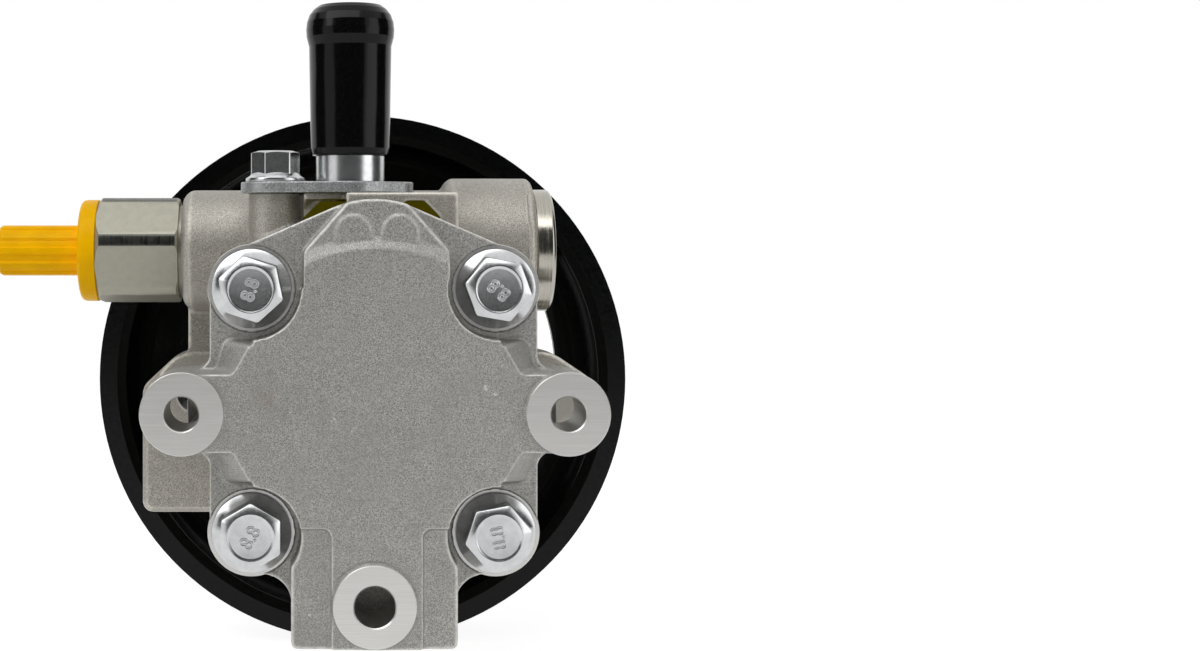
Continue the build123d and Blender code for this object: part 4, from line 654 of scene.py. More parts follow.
def yellow_plastic():
    """Moulded yellow plastic with a faint painted glow for the light shining through it, and a tone that
    deepens at random.
    """
    settings = bpy.context.scene.pump_ports
    paint = Paint("Plug plastic", roughness=0.36)
    paint.set("Specular IOR Level", 0.08)
    # Painted light: the glow stands in for light let through the plastic.
    paint.glow((0.17, 0.09, 0.0))
    base = Vector(settings.plug_colour)
    cloud = paint.noise(0.25, detail=2.0)
    fine = paint.noise(2.2, detail=3.0)
    paint.set("Base Color", paint.mix(paint.ramp(cloud, 0.3, 0.75), base, base * 0.88))
    paint.set("Roughness", paint.ramp(fine, 0.3, 0.7, 0.3, 0.44))
    paint.bump(fine, 0.015)
    return paint.material


def seal_rubber():
    """Matt black rubber."""
    paint = Paint("Seal rubber", roughness=0.6)
    fine = paint.noise(3.0, detail=3.0)
    colour = paint.mix(paint.ramp(fine, 0.35, 0.7), (0.016, 0.016, 0.016), (0.03, 0.03, 0.03))
    paint.set("Base Color", colour)
    paint.set("Roughness", paint.ramp(fine, 0.3, 0.7, 0.52, 0.68))
    paint.bump(fine, 0.02)
    return paint.material


def bearing_bronze():
    """Plain bearing metal with fine turned rings."""
    return turned_steel("Bearing bronze", (0.6, 0.4, 0.2), 0.33, along="y")


# Settings

COLOUR = {"subtype": "COLOR", "size": 3, "min": 0.0, "max": 1.0}


class CastingSettings(bpy.types.PropertyGroup):
    """Look of the two castings."""

    cube: FloatProperty(
        name="Cube", description="Size of the cubes that a casting is rebuilt from, in millimetres",
        default=0.42, min=0.2, max=2.0)
    rounds: IntProperty(
        name="Rounds", description="How often the rebuilt casting is relaxed, more for rounder edges",
        default=9, min=0, max=40)
    faces: IntProperty(
        name="Faces", description="Triangles kept on each casting", default=150000, min=1000, max=199000)
    grain: FloatProperty(
        name="Grain", description="Grains of the blasted skin in each millimetre",
        default=4.4, min=0.5, max=8.0)
    grain_depth: FloatProperty(
        name="Grain depth", description="Depth of the grain, in millimetres", default=0.09, min=0.0, max=0.5)
    # Strength of the painted highlight on standing-out edges and of the painted shade in hollows.
    rim_light_and_shade: FloatProperty(
        name="Rim light and shade", description="How much lighter edges are, and how much darker hollows are",
        default=0.7, min=0.0, max=1.0, subtype="FACTOR")
    stain: FloatProperty(
        name="Stain", description="Strength of the brown stains",
        default=0.35, min=0.0, max=1.0, subtype="FACTOR")
    colour: FloatVectorProperty(
        name="Casting colour", description="Colour of the blasted skin",
        default=(0.41, 0.404, 0.381), **COLOUR)
    milled_colour: FloatVectorProperty(
        name="Milled colour", description="Colour of milled faces", default=(0.69, 0.68, 0.66), **COLOUR)
    stain_colour: FloatVectorProperty(
        name="Stain colour", description="Colour of the stains", default=(0.3, 0.235, 0.175), **COLOUR)


class FastenerSettings(bpy.types.PropertyGroup):
    """Sizes and look of the bolts."""

    across_flats: FloatProperty(
        name="Across flats", description="Width of the cover bolts' hexagon, in millimetres",
        default=13.0, min=5.0, max=30.0)
    flange: FloatProperty(
        name="Flange", description="Diameter of the cover bolts' flange, in millimetres",
        default=17.9, min=8.0, max=40.0)
    head: FloatProperty(
        name="Head height", description="Height of the cover bolts' heads, in millimetres",
        default=7.9, min=2.0, max=20.0)
    mark: StringProperty(name="Strength mark", description="Raised mark on each head", default="8.8")
    mark_height: FloatProperty(
        name="Mark height", description="Height of the letters, in millimetres",
        default=4.2, min=0.5, max=8.0)
    colour: FloatVectorProperty(
        name="Zinc colour", description="Colour of the plate", default=(0.56, 0.57, 0.575), **COLOUR)


class PortSettings(bpy.types.PropertyGroup):
    """Look of the suction pipe, the outlet union and their transport plugs."""

    ribs: IntProperty(
        name="Plug ribs", description="Grip ribs round the plug's stem", default=10, min=4, max=60)
    union_colour: FloatVectorProperty(
        name="Union colour", description="Colour of the union's plate", default=(0.4, 0.388, 0.318), **COLOUR)
    cap_colour: FloatVectorProperty(
        name="Cap colour", description="Colour of the pipe's cap", default=(0.0035, 0.0035, 0.004), **COLOUR)
    plug_colour: FloatVectorProperty(
        name="Plug colour", description="Colour of the outlet's plug", default=(1.0, 0.53, 0.0), **COLOUR)


class DriveSettings(bpy.types.PropertyGroup):
    """Look of the pulley and its hub."""

    edge: FloatProperty(
        name="Edge rounding", description="Rounding of the formed steel's edges, in millimetres",
        default=0.45, min=0.05, max=1.0)
    colour: FloatVectorProperty(
        name="Paint colour", description="Colour of the enamel", default=(0.0025, 0.003, 0.0028), **COLOUR)


class StageSettings(bpy.types.PropertyGroup):
    """Camera and light."""

    camera_place: FloatVectorProperty(
        name="Camera", description="Place of the camera", subtype="TRANSLATION", unit="LENGTH", size=3,
        default=(-0.014, -0.384, 0.0404))
    lens: FloatProperty(
        name="Lens", description="Focal length for a 36 mm sensor, in millimetres",
        default=52.632, min=10.0, max=200.0)
    shift_right: FloatProperty(
        name="Shift right",
        description="How far the frame lies right of the lens axis, as a share of its width",
        default=0.24083, min=-1.0, max=1.0)
    shift_up: FloatProperty(
        name="Shift up",
        description="How far the frame lies above the lens axis, as a share of its width",
        default=-0.07958, min=-1.0, max=1.0)
    key: FloatProperty(
        name="Main light", description="Power of the large light above, in watts",
        default=11.0, min=0.0, max=100.0)
    fill: FloatProperty(
        name="Fill light", description="Power of the large light at the right, in watts",
        default=1.5, min=0.0, max=100.0)
    surround: FloatProperty(
        name="Surround", description="Brightness of the room's light on the object",
        default=0.2, min=0.0, max=3.0)


# Castings, with their sizes in millimetres

EARS = ((-42.5, 0.0), (42.5, 0.0), (0.0, -42.3))
EAR_RIM = 9.2
EAR_FACE_REACH = 9.7
EAR_FACE_Y = 0.7
COVER_BORES = (3.8, 3.8, 4.55)
COVER_BORE_END_Y = 18.7
BODY_BORES = (4.7, 3.4, 3.4)
BODY_BORE_Y = (51.6, 65.6)
BORE_ROOM = 0.3
LINER_WALL = 0.5
ENTRY_CHAMFER = 0.3
EXIT_CHAMFER = 0.2
FACE_CHAMFER = 0.12
FACE_DEPTH = 1.5

BOLTS = [(x, z) for x in (-27.3, 27.3) for z in (-27.3, 27.3)]
SEAT_Y = 9.0
SEAT_BAND = 0.3
SEAT_SINK = 0.25
SEAT_REACH = 9.6
SEAT_RING = [(SEAT_Y, 4.4), (SEAT_Y, 9.8), (SEAT_Y + 0.15, 9.9), (SEAT_Y + 0.5, 9.9), (SEAT_Y + 0.5, 4.4)]

COVER_JOINT_Y = 19.6
ARCH_FOOT_Z = 34.0
ARCH_HALF_WIDTH = 11.0
ARCH_DEPTH = 4.0
ARM_BACK_Y = 9.5

BODY_JOINT_Y = 21.2
BODY_CUBE_SHARE = 1.2
PAD_Z = 48.0
PAD_HALF_WIDTH = 30.0
POCKET_HALF_WIDTH = 16.6
POCKET_Y = (20.9, 26.5)
POCKET_Z = (36.0, 47.4)
POCKET_FLOOR_Y = 26.0
FILM_Y = (25.3, 20.75)
FILM_RIM = [(-16.2, 42.75), (-11.9, 47.0), (11.9, 47.0), (16.2, 42.75), (16.2, 38.6), (-16.2, 38.6)]

CASTING_ANGLE = 60.0
TURNED_ANGLE = 30.0


def off_the_ear(place):
    """Ear that a place is nearest to, and its distance from that ear's axis, in millimetres."""
    reach = [math.hypot(place.x - x, place.z - z) for x, z in EARS]
    nearest = min(range(len(EARS)), key=lambda i: reach[i])
    return nearest, reach[nearest]


def widen_bores(piece, radii):
    """Moves the rough walls of the ear bores outward, to make room for clean ones."""
    for vertex in piece.data.vertices:
        place = vertex.co / MM
        ear, reach = off_the_ear(place)
        room = radii[ear] + BORE_ROOM
        if 0.01 < reach < room:
            x, z = EARS[ear]
            vertex.co.x = (x + (place.x - x) * room / reach) * MM
            vertex.co.z = (z + (place.z - z) * room / reach) * MM


def bore_liner(ear, radius, start, end, materials, rim=None):
    """Clean wall of an ear's bore with its chamfer, and a milled face when a rim is given."""
    x, z = EARS[ear]
    wall = radius + LINER_WALL
    if rim:
        profile = [(start, radius + ENTRY_CHAMFER), (start, rim - FACE_CHAMFER), (start + FACE_CHAMFER, rim)]
        profile += [(start + FACE_DEPTH, rim), (start + FACE_DEPTH, wall)]
    else:
        profile = [(start, radius + EXIT_CHAMFER), (start, wall)]
    profile += [(end, wall), (end, radius + EXIT_CHAMFER)]
    profile += [(end - EXIT_CHAMFER, radius), (start + ENTRY_CHAMFER, radius)]

    def finish(middle, normal):
        """0 for the milled face, 1 for the wall and its chamfers."""
        return 0 if math.hypot(middle.x - x, middle.z - z) > radius + LINER_WALL / 2 else 1

    liner = lathe("liner", line_along_y(x, z), profile)
    paint_faces(liner, materials, finish)
    return liner


def add_clean_faces(name, pieces, node):
    """Joins clean skins into one piece that rides with a casting."""
    faces = joined(name, pieces)
    smooth(faces, TURNED_ANGLE)
    hand_over(faces, node, stands_in=False)


class PUMP_OT_rear_cover(bpy.types.Operator):
    """Round the cover's cast edges and tell its milled faces from its blasted skin"""

    bl_idname = "pump.rear_cover"
    bl_label = "Rear cover"

    def execute(self, context):
        settings = context.scene.pump_castings

        def share(place):
            """Keeps the joint, the arches and the plateau's rim crisp, and lets the sides go soft."""
            if place.y > COVER_JOINT_Y:
                return 0.1
            if place.z > ARCH_FOOT_Z and abs(place.x) < ARCH_HALF_WIDTH and place.y < ARCH_DEPTH:
                return 0.15
            return 0.3 if place.y < ARM_BACK_Y else 0.8

        cover = cast_skin(
            "rear_cover", "rear_cover_casting", settings.cube, settings.rounds, share, settings.faces)
        widen_bores(cover, COVER_BORES)
        for vertex in cover.data.vertices:
            place = vertex.co / MM
            if place.y < EAR_FACE_Y and off_the_ear(place)[1] < EAR_FACE_REACH:
                vertex.co.y = EAR_FACE_Y * MM
            if abs(place.y - SEAT_Y) < SEAT_BAND:
                for x, z in BOLTS:
                    if math.hypot(place.x - x, place.z - z) < SEAT_REACH:
                        vertex.co.y = (SEAT_Y + SEAT_SINK) * MM
        cover.data.materials.append(cast_aluminium("Blasted cover", (1.0, 1.0, 1.0), cover_marks))
        smooth(cover, CASTING_ANGLE)
        hand_over(cover, "rear_cover")

        milled, bored = machined_face(), bore_wall()
        clean = [
            bore_liner(ear, radius, 0.0, COVER_BORE_END_Y, [milled, bored], EAR_RIM)
            for ear, radius in enumerate(COVER_BORES)
        ]
        for x, z in BOLTS:
            seat = lathe("seat", line_along_y(x, z), SEAT_RING)
            seat.data.materials.append(milled)
            clean.append(seat)
        add_clean_faces("rear_cover_milled", clean, "rear_cover")
        return {"FINISHED"}


class PUMP_OT_body(bpy.types.Operator):
    """Round the body's cast edges and lay a dark olive sheet as painted shade, with a painted glow, in the
    pocket under its pad
    """

    bl_idname = "pump.body"
    bl_label = "Pump body"

    def execute(self, context):
        settings = context.scene.pump_castings

        def share(place):
            """Keeps the joint, the pocket and the pad crisp, and lets the rest go soft."""
            if place.y < BODY_JOINT_Y:
                return 0.15
            if place.y < POCKET_FLOOR_Y and place.z > POCKET_Z[0]:
                return 0.3
            return 0.25 if place.z > PAD_Z and abs(place.x) < PAD_HALF_WIDTH else 0.9

        cube = settings.cube * BODY_CUBE_SHARE
        body = cast_skin("pump_body", "pump_body_casting", cube, settings.rounds, share, settings.faces)
        widen_bores(body, BODY_BORES)
        for vertex in body.data.vertices:
            x, y, z = vertex.co / MM
            in_pocket = POCKET_Y[0] < y < POCKET_Y[1] and POCKET_Z[0] < z < POCKET_Z[1]
            if in_pocket and abs(x) < POCKET_HALF_WIDTH:
                vertex.co.y = POCKET_FLOOR_Y * MM
        body.data.materials.append(cast_aluminium("Blasted body", (1.03, 1.0, 0.95), body_marks))
        smooth(body, CASTING_ANGLE)
        hand_over(body, "pump_body")

        bored = bore_wall()
        clean = [
            bore_liner(ear, radius, *BODY_BORE_Y, [bored, bored])
            for ear, radius in enumerate(BODY_BORES)
        ]
        # Painted shade: the film is a dark olive sheet over the pocket's floor, lit by a painted glow.
        film = bpy.data.meshes.new("film")
        count = len(FILM_RIM)
        corners = [Vector((x, y, z)) * MM for y in FILM_Y for x, z in FILM_RIM]
        walls = [(i, (i + 1) % count, (i + 1) % count + count, i + count) for i in range(count)]
        film.from_pydata(corners, [], [range(count)] + walls)
        film.materials.append(pocket_floor())
        clean.append(new_piece("film", film))
        add_clean_faces("pump_body_bores", clean, "pump_body")
        return {"FINISHED"}


# Bolts, with their sizes in millimetres

HEAD_STEPS = 120
HEAD_SLOPE = 0.32
HEAD_TOP_SHARE = 0.415
FLANGE_SHARE = 0.17
CORNER_TRIM = 0.12
DISH = 0.2
BOLT_ANGLE = 38.0
MARK_RELIEF = 0.17
COVER_BOLT_SHANK = 4.0
COVER_BOLT_TURNS = (-72.0, -140.0, -101.0, -60.0)
PAD_BOLT_HEAD = 7.4
PAD_BOLT_ACROSS_FLATS = 10.3
PAD_BOLT_FLANGE = 14.2
PAD_BOLT_SHANK = 3.0
PAD_BOLT_TURN = 37.0


def bolt_head(name, across_flats, flange, height, shank_radius, shank_length, foot=0.36):
    """Flange bolt standing on the origin: dished hexagon head, conical flange and plain shank.

    The foot is the share of the head's height at which the flange's cone meets the flats.
    """
    half = across_flats / 2
    rim = flange / 2
    top = across_flats * HEAD_TOP_SHARE
    corner = half / math.cos(math.pi / 6) - CORNER_TRIM
    flange_top = height * min(FLANGE_SHARE, foot - 0.12)
    cone = (height * foot - flange_top) / (rim - 0.35 - half)

    def side(turn):
        """Points (radius, height) from the shank's end to the middle of the dish, at an angle."""
        part = (turn + math.pi / 6) % (math.pi / 3) - math.pi / 6
        flat = min(half / math.cos(part), corner)
        return [
            (0.0, -shank_length),
            (shank_radius - 0.6, -shank_length),
            (shank_radius, -shank_length + 0.8),
            (shank_radius, 0.0),
            (rim - 0.3, 0.0),
            (rim - 0.08, 0.1),
            (rim, 0.3),
            (rim, flange_top * 0.62),
            (rim - 0.1, flange_top * 0.86),
            (rim - 0.4, flange_top),
            (flat + 0.35, flange_top + (rim - 0.7 - flat) * cone),
            (flat, flange_top + (rim - 0.35 - flat) * cone + 0.25),
            (flat, height - 0.1 - (flat - top) * HEAD_SLOPE),
            (flat - 0.1, height - 0.04 - (flat - 0.1 - top) * HEAD_SLOPE),
            (top + 0.05, height - 0.06),
            (top - 0.1, height),
            (top - 0.28, height),
            (top - 0.4, height - 0.04),
            (top - 0.62, height - DISH),
            (top - 0.85, height - DISH - 0.02),
            (0.0, height - DISH - 0.02),
        ]

    turns = [2 * math.pi * i / HEAD_STEPS for i in range(HEAD_STEPS)]
    shape = bmesh.new()
    rings = []
    for points in zip(*(side(turn) for turn in turns)):
        used = points if points[0][0] > 0 else points[:1]
        rings.append([
            shape.verts.new((radius * math.cos(turn) * MM, radius * math.sin(turn) * MM, up * MM))
            for turn, (radius, up) in zip(turns, used)
        ])
    for first, second in zip(rings, rings[1:]):
        ring_faces(shape, first, second)
    bmesh.ops.recalc_face_normals(shape, faces=shape.faces)
    return shaped(name, shape)


def marked_heads_tree():
    """Geometry Nodes: a marked bolt on each point, turned by the point's own angle."""
    sheet, given = new_tree("Marked bolts", {
        "Points": "Geometry",
        "Bolt": "Object",
        "Mark": "String",
        "Mark height": "Float",
        "Mark level": "Float",
        "Mark relief": "Float",
        "Finish": "Material",
    })
    bolt = sheet.node("GeometryNodeObjectInfo", values={"Object": given["Bolt"]}, out="Geometry")
    settings = {"align_x": "CENTER", "align_y": "MIDDLE"}
    values = {"String": given["Mark"], "Size": given["Mark height"]}
    text = sheet.node("GeometryNodeStringToCurves", settings, values)
    text = sheet.node("GeometryNodeRealizeInstances", values={"Geometry": text})
    values = {"Resolution": 8, "Radius": given["Mark relief"]}
    bead = sheet.node("GeometryNodeCurvePrimitiveCircle", {"mode": "RADIUS"}, values)
    raised = sheet.node("GeometryNodeCurveToMesh", values={"Curve": text, "Profile Curve": bead})
    level = sheet.node("ShaderNodeCombineXYZ", values={"Z": given["Mark level"]})
    raised = sheet.node("GeometryNodeTransform", values={"Geometry": raised, "Translation": level})
    marked = sheet.node("GeometryNodeJoinGeometry", values={0: bolt})
    sheet.tree.links.new(raised.socket, marked.socket.node.inputs[0])
    turn = sheet.node("GeometryNodeInputNamedAttribute", {"data_type": "FLOAT_VECTOR"}, {"Name": "turn"})
    values = {"Points": given["Points"], "Instance": marked, "Rotation": turn}
    placed = sheet.node("GeometryNodeInstanceOnPoints", values=values)
    return end_tree(sheet, placed, given["Finish"])


def marked_bolts(name, bolt, places, turns, level, finish):
    """Copies of a bolt at places in millimetres, each turned its own way, as one plain mesh."""
    settings = bpy.context.scene.pump_fasteners
    mesh = bpy.data.meshes.new(name)
    mesh.from_pydata([Vector(place) * MM for place in places], [], [])
    turn = mesh.attributes.new("turn", "FLOAT_VECTOR", "POINT")
    for i, angles in enumerate(turns):
        turn.data[i].vector = angles
    piece = new_piece(name, mesh)
    grow(piece, marked_heads_tree(), finish, {
        "Bolt": bolt,
        "Mark": settings.mark,
        "Mark height": settings.mark_height * MM,
        "Mark level": level * MM,
        "Mark relief": MARK_RELIEF * MM,
    })
    smooth(piece, BOLT_ANGLE)
    return piece


class PUMP_OT_bolts(bpy.types.Operator):
    """Set the four marked cover bolts, each turned as it was tightened, and the small bolt on the pad"""

    bl_idname = "pump.bolts"
    bl_label = "Bolts"

    def execute(self, context):
        settings = context.scene.pump_fasteners
        finish = bright_zinc()
        low, high = box_of("cover_bolts")
        half = settings.flange / 2
        seat = low.y + settings.head
        left, right, bottom, top = low.x + half, high.x - half, low.z + half, high.z - half
        places = [(x, seat, z) for x, z in ((left, top), (right, top), (right, bottom), (left, bottom))]
        turns = [(math.pi / 2, math.radians(turn), 0) for turn in COVER_BOLT_TURNS]
        bolt = bolt_head(
            "bolt_pattern", settings.across_flats, settings.flange, settings.head,
            COVER_BOLT_SHANK, high.y - seat)
        bolts = marked_bolts("cover_bolts_zinc", bolt, places, turns, settings.head - DISH, finish)
        hand_over(bolts, "cover_bolts")
        bpy.data.objects.remove(bolt)

        low, high = box_of("pipe_flange_bolt")
        seat = high.z - PAD_BOLT_HEAD
        small = bolt_head(
            "pad_bolt_zinc", PAD_BOLT_ACROSS_FLATS, PAD_BOLT_FLANGE, PAD_BOLT_HEAD,
            PAD_BOLT_SHANK, seat - low.z, foot=0.27)
        place = Vector(((low.x + high.x) / 2, (low.y + high.y) / 2, seat)) * MM
        turn = Matrix.Rotation(math.radians(PAD_BOLT_TURN), 4, "Z")
        small.data.transform(Matrix.Translation(place) @ turn)
        small.data.materials.append(finish)
        smooth(small, BOLT_ANGLE)
        hand_over(small, "pipe_flange_bolt")
        return {"FINISHED"}


# Ports, with their sizes in millimetres

PLASTIC_ANGLE = 40.0
PLASTIC_STEPS = 128
PLATE_ROUNDING = 0.3
PIPE_ROUNDING = 0.2
UNION_ROUNDING = 0.22
CAP_BORE = 8.06
CAP_NECK_Z = 83.8
CAP_NECK_RADIUS = 9.75
CAP_BEAD = ((86.0, 0.12), (87.8, 0.0), (89.6, 0.2), (91.3, 0.8))
CAP_TOP_WALL = 1.2
CAP_SINK = 1.2
UNION_TURN = -20.8
UNION_CORNER_REACH = 12.9
# Heights from the union's middle where the corner strips keep the plate's colour, without the painted
# reflection.
UNION_PLAIN_STRIPS_Z = (-12.0, -2.0)
SPIGOT_LENGTH = 10.0
SPIGOT_RADIUS = 5.94
PLUG_FLANGE_WIDTH = 4.3
STEM_RADIUS = 6.35
RIB_HEIGHT = 0.6
RIB_FOOT = 0.3


class PUMP_OT_inlet(bpy.types.Operator):
    """Finish the suction pipe and its clamp plate, and turn the black transport cap"""

    bl_idname = "pump.inlet"
    bl_label = "Suction inlet"

    def execute(self, context):
        for node, name, width, finish in (
            ("pipe_flange_plate", "clamp_plate_zinc", PLATE_ROUNDING, zinc_sheet()),
            ("suction_pipe", "suction_pipe_zinc", PIPE_ROUNDING, bright_zinc()),
        ):
            piece = welded_copy(node, name)
            round_edges(piece, width)
            paint_faces(piece, [finish])
            hand_over(piece, node)

        low, high = box_of("pipe_cap")
        x, y = (low.x + high.x) / 2, (low.y + high.y) / 2
        bead = (high.x - low.x) / 2
        top = high.z - CAP_SINK
        points = [
            (low.z, CAP_BORE),
            (low.z, 9.05),
            (low.z + 1.6, 9.35),
            (CAP_NECK_Z, CAP_NECK_RADIUS),
            *((level, bead - drop) for level, drop in CAP_BEAD),
            (top - 0.9, bead - 1.8),
            (top, bead - 3.0),
            (top, 0.0),
            (top - CAP_TOP_WALL, 0.0),
            (top - CAP_TOP_WALL, CAP_BORE),
        ]
        radii = (0, 0.4, 0.8, 1.2, 0.9, 0.8, 0.8, 0.8, 0.6, 0.3, 0, 0, 0.6)
        cap = lathe("pipe_cap_soft", line_along_z(x, y), rounded(points, radii), PLASTIC_STEPS)
        cap.data.materials.append(cap_plastic())
        smooth(cap, PLASTIC_ANGLE)
        hand_over(cap, "pipe_cap")
        return {"FINISHED"}


def ribs_tree():
    """Geometry Nodes: a grip rib repeated round the X axis."""
    sheet, given = new_tree("Grip ribs", {"Rib": "Geometry", "Count": "Int", "Finish": "Material"})
    points = sheet.node("GeometryNodePoints", values={"Count": given["Count"]})
    index = sheet.node("GeometryNodeInputIndex")
    turn = sheet.node("ShaderNodeCombineXYZ", values={"X": index * (2 * math.pi) / given["Count"]})
    values = {"Points": points, "Instance": given["Rib"], "Rotation": turn}
    placed = sheet.node("GeometryNodeInstanceOnPoints", values=values)
    return end_tree(sheet, placed, given["Finish"])


def grip_rib(name, start, end, width, core):
    """One rib on a stem along X, low at its outer end."""
    foot = core - RIB_FOOT
    section = [(-0.5, foot), (-0.5, core + 0.1), (-0.34, STEM_RADIUS - 0.08), (0.0, STEM_RADIUS)]
    section += [(-side, radius) for side, radius in section[2::-1]]
    shape = bmesh.new()
    rows = []
    for along, drop in ((start + 0.15, 0.45), (start + 0.9, 0.0), (end - 0.05, 0.0)):
        rows.append([
            shape.verts.new((along * MM, max(radius - drop, foot) * MM, side * width * MM))
            for side, radius in section
        ])
    for first, second in zip(rows, rows[1:]):
        ring_faces(shape, first, second)
    shape.faces.new(rows[0])
    shape.faces.new(rows[-1])
    bmesh.ops.recalc_face_normals(shape, faces=shape.faces)
    return shaped(name, shape)


class PUMP_OT_outlet(bpy.types.Operator):
    """Finish the hexagon union and mould the yellow transport plug with its grip ribs"""

    bl_idname = "pump.outlet"
    bl_label = "Pressure outlet"

    def execute(self, context):
        settings = context.scene.pump_ports
        low, high = box_of("outlet_plug")
        flange = (high.z - low.z) / 2
        y, z = (low.y + high.y) / 2, (low.z + high.z) / 2
        line = line_along_x(y, z)

        def side(middle, normal):
            """1 for the narrow turned strips on the corners, which get a dark painted reflection, except in
            the band kept plain; 0 for the rest.
            """
            on_corner = math.hypot(middle.y - y, middle.z - z) > UNION_CORNER_REACH and abs(normal.x) < 0.3
            kept_plain = UNION_PLAIN_STRIPS_Z[0] <= middle.z - z <= UNION_PLAIN_STRIPS_Z[1]
            return 1 if on_corner and not kept_plain else 0

        union = welded_copy("outlet_union", "outlet_union_plated")
        round_edges(union, UNION_ROUNDING)
        turn = Matrix.Rotation(math.radians(UNION_TURN), 4, "X")
        union.data.transform(line @ turn @ line.inverted())
        # Painted reflection: a dark base on the turned corners stands for the dark room they mirror.
        corner = turned_steel("Turned corner", (0.11, 0.11, 0.1), 0.3, along="x")
        paint_faces(union, [satin_plate(), corner], side)
        hand_over(union, "outlet_union")

        right = high.x - SPIGOT_LENGTH
        left = right - PLUG_FLANGE_WIDTH
        core = STEM_RADIUS - RIB_HEIGHT
        points = [
            (low.x, 0.0),
            (low.x, core),
            (left, core),
            (left, flange),
            (right, flange),
            (right, SPIGOT_RADIUS),
            (high.x, SPIGOT_RADIUS),
            (high.x, 0.0),
        ]
        radii = (0, 0.8, 0.5, 1.6, 0.25, 0.2, 0.9, 0)
        plastic = yellow_plastic()
        plug = lathe("outlet_plug_body", line, rounded(points, radii), PLASTIC_STEPS)
        plug.data.materials.append(plastic)
        smooth(plug, PLASTIC_ANGLE)
        hand_over(plug, "outlet_plug")

        width = math.pi * STEM_RADIUS / settings.ribs
        ribs = grip_rib("outlet_plug_ribs", low.x, left, width, core)
        grow(ribs, ribs_tree(), plastic, {"Count": settings.ribs})
        ribs.data.transform(line)
        smooth(ribs, TURNED_ANGLE)
        hand_over(ribs, "outlet_plug", stands_in=False)
        return {"FINISHED"}


class PUMP_OT_end_plug(bpy.types.Operator):
    """Finish the screw plug at the closed end of the valve housing"""

    bl_idname = "pump.end_plug"
    bl_label = "Valve end plug"

    def execute(self, context):
        plug = welded_copy("valve_end_plug", "valve_end_plug_turned")
        round_edges(plug, PLATE_ROUNDING)
        paint_faces(plug, [turned_steel("End plug steel", (0.43, 0.41, 0.36), 0.2, along="x")])
        hand_over(plug, "valve_end_plug")
        return {"FINISHED"}


# Drive and inner parts, with their sizes in millimetres

WINDOW_EDGE = 57.0
WINDOW_FADE = 6.0
WINDOW_INWARD = 1.8


def narrow_windows(piece):
    """Draws the rim side of the web's windows inward, out of sight behind the clamp plate."""
    for vertex in piece.data.vertices:
        radius = math.hypot(vertex.co.x, vertex.co.z) / MM
        into = (radius - WINDOW_EDGE + WINDOW_FADE) / WINDOW_FADE
        if 0 < into and radius < WINDOW_EDGE + 0.2:
            shrink = 1 - WINDOW_INWARD * min(into, 1.0) / radius
            vertex.co.x *= shrink
            vertex.co.z *= shrink


class PUMP_OT_pulley(bpy.types.Operator):
    """Round the edges of the formed pulley and its hub and give them black enamel"""

    bl_idname = "pump.pulley"
    bl_label = "Pulley"

    def execute(self, context):
        edge = context.scene.pump_drive.edge
        enamel = black_enamel()
        for node, width in (("pulley", edge), ("pulley_hub", edge * 0.6)):
            piece = welded_copy(node, node + "_enamelled")
            if node == "pulley":
                narrow_windows(piece)
            round_edges(piece, width)
            paint_faces(piece, [enamel])
            hand_over(piece, node)
        return {"FINISHED"}


class PUMP_OT_inner_parts(bpy.types.Operator):
    """Give the shaft, cartridge, valve and seals their finishes by the record's slots"""

    bl_idname = "pump.inner_parts"
    bl_label = "Inner parts"

    def execute(self, context):
        finishes = {
            "turned_steel": turned_steel(),
            "seal_rubber": seal_rubber(),
            "bearing_bronze": bearing_bronze(),
            "zinc_steel": bright_zinc(),
        }
        for part in frame["record"]["subparts"]:
            node = frame["nodes"].get(part["node"])
            if node is None or node.hide_render or part["material_slot"] not in finishes:
                continue
            node.data.materials.clear()
            node.data.materials.append(finishes[part["material_slot"]])
        return {"FINISHED"}


# Stage, with its sizes in metres and its lamps and cards placed from the object's middle

WHITE = (1.0, 1.0, 1.0, 1.0)
FLOOR_REACH = 4.0
FLOOR_DROP = 0.0002
FLOOR_GLOW = 1.68
FLOOR_GLOW_SHARE = 0.55
LAMPS = (
    ("main_light", "key", (1.5, 1.1), (-0.35, -0.66, 0.72)),
    ("fill_light", "fill", (0.6, 0.8), (0.75, -0.5, 0.15)),
)
CARDS = (
    ("front_card", 0.12, (1.7, 0.9), (0.0, -0.8, 0.25)),
    ("left_card", 0.05, (0.7, 0.8), (-0.9, 0.1, 0.2)),
    ("right_card", 0.05, (0.7, 0.8), (0.9, 0.1, 0.2)),
)


def white_ray(sheet):
    """1 for rays that should meet the plain white of the room: seen, mirrored or let through."""
    path = sheet.node("ShaderNodeLightPath").socket.node
    rays = ("Is Camera Ray", "Is Glossy Ray", "Is Transmission Ray")
    seen, mirrored, through = (Value(sheet, path.outputs[ray]) for ray in rays)
    return (seen + mirrored + through).clamped()


def empty_sheet(owner):
    """The node tree of a material or world, with its first nodes taken out."""
    owner.use_nodes = True
    owner.node_tree.nodes.clear()
    return Sheet(owner.node_tree)


def flat_sheet(name, width, depth, level=0.0):
    """Mesh of a flat sheet with its middle over the origin, at a level."""
    corners = [(i * width / 2, j * depth / 2, level) for i, j in ((-1, -1), (1, -1), (1, 1), (-1, 1))]
    mesh = bpy.data.meshes.new(name)
    mesh.from_pydata(corners, [], [(0, 1, 2, 3)])
    return mesh


def soft_lamp(name, size, power):
    """Large soft lamp."""
    lamp = bpy.data.lights.new(name, "AREA")
    lamp.shape = "RECTANGLE"
    lamp.size, lamp.size_y = size
    lamp.energy = power
    return bpy.data.objects.new(name, lamp)


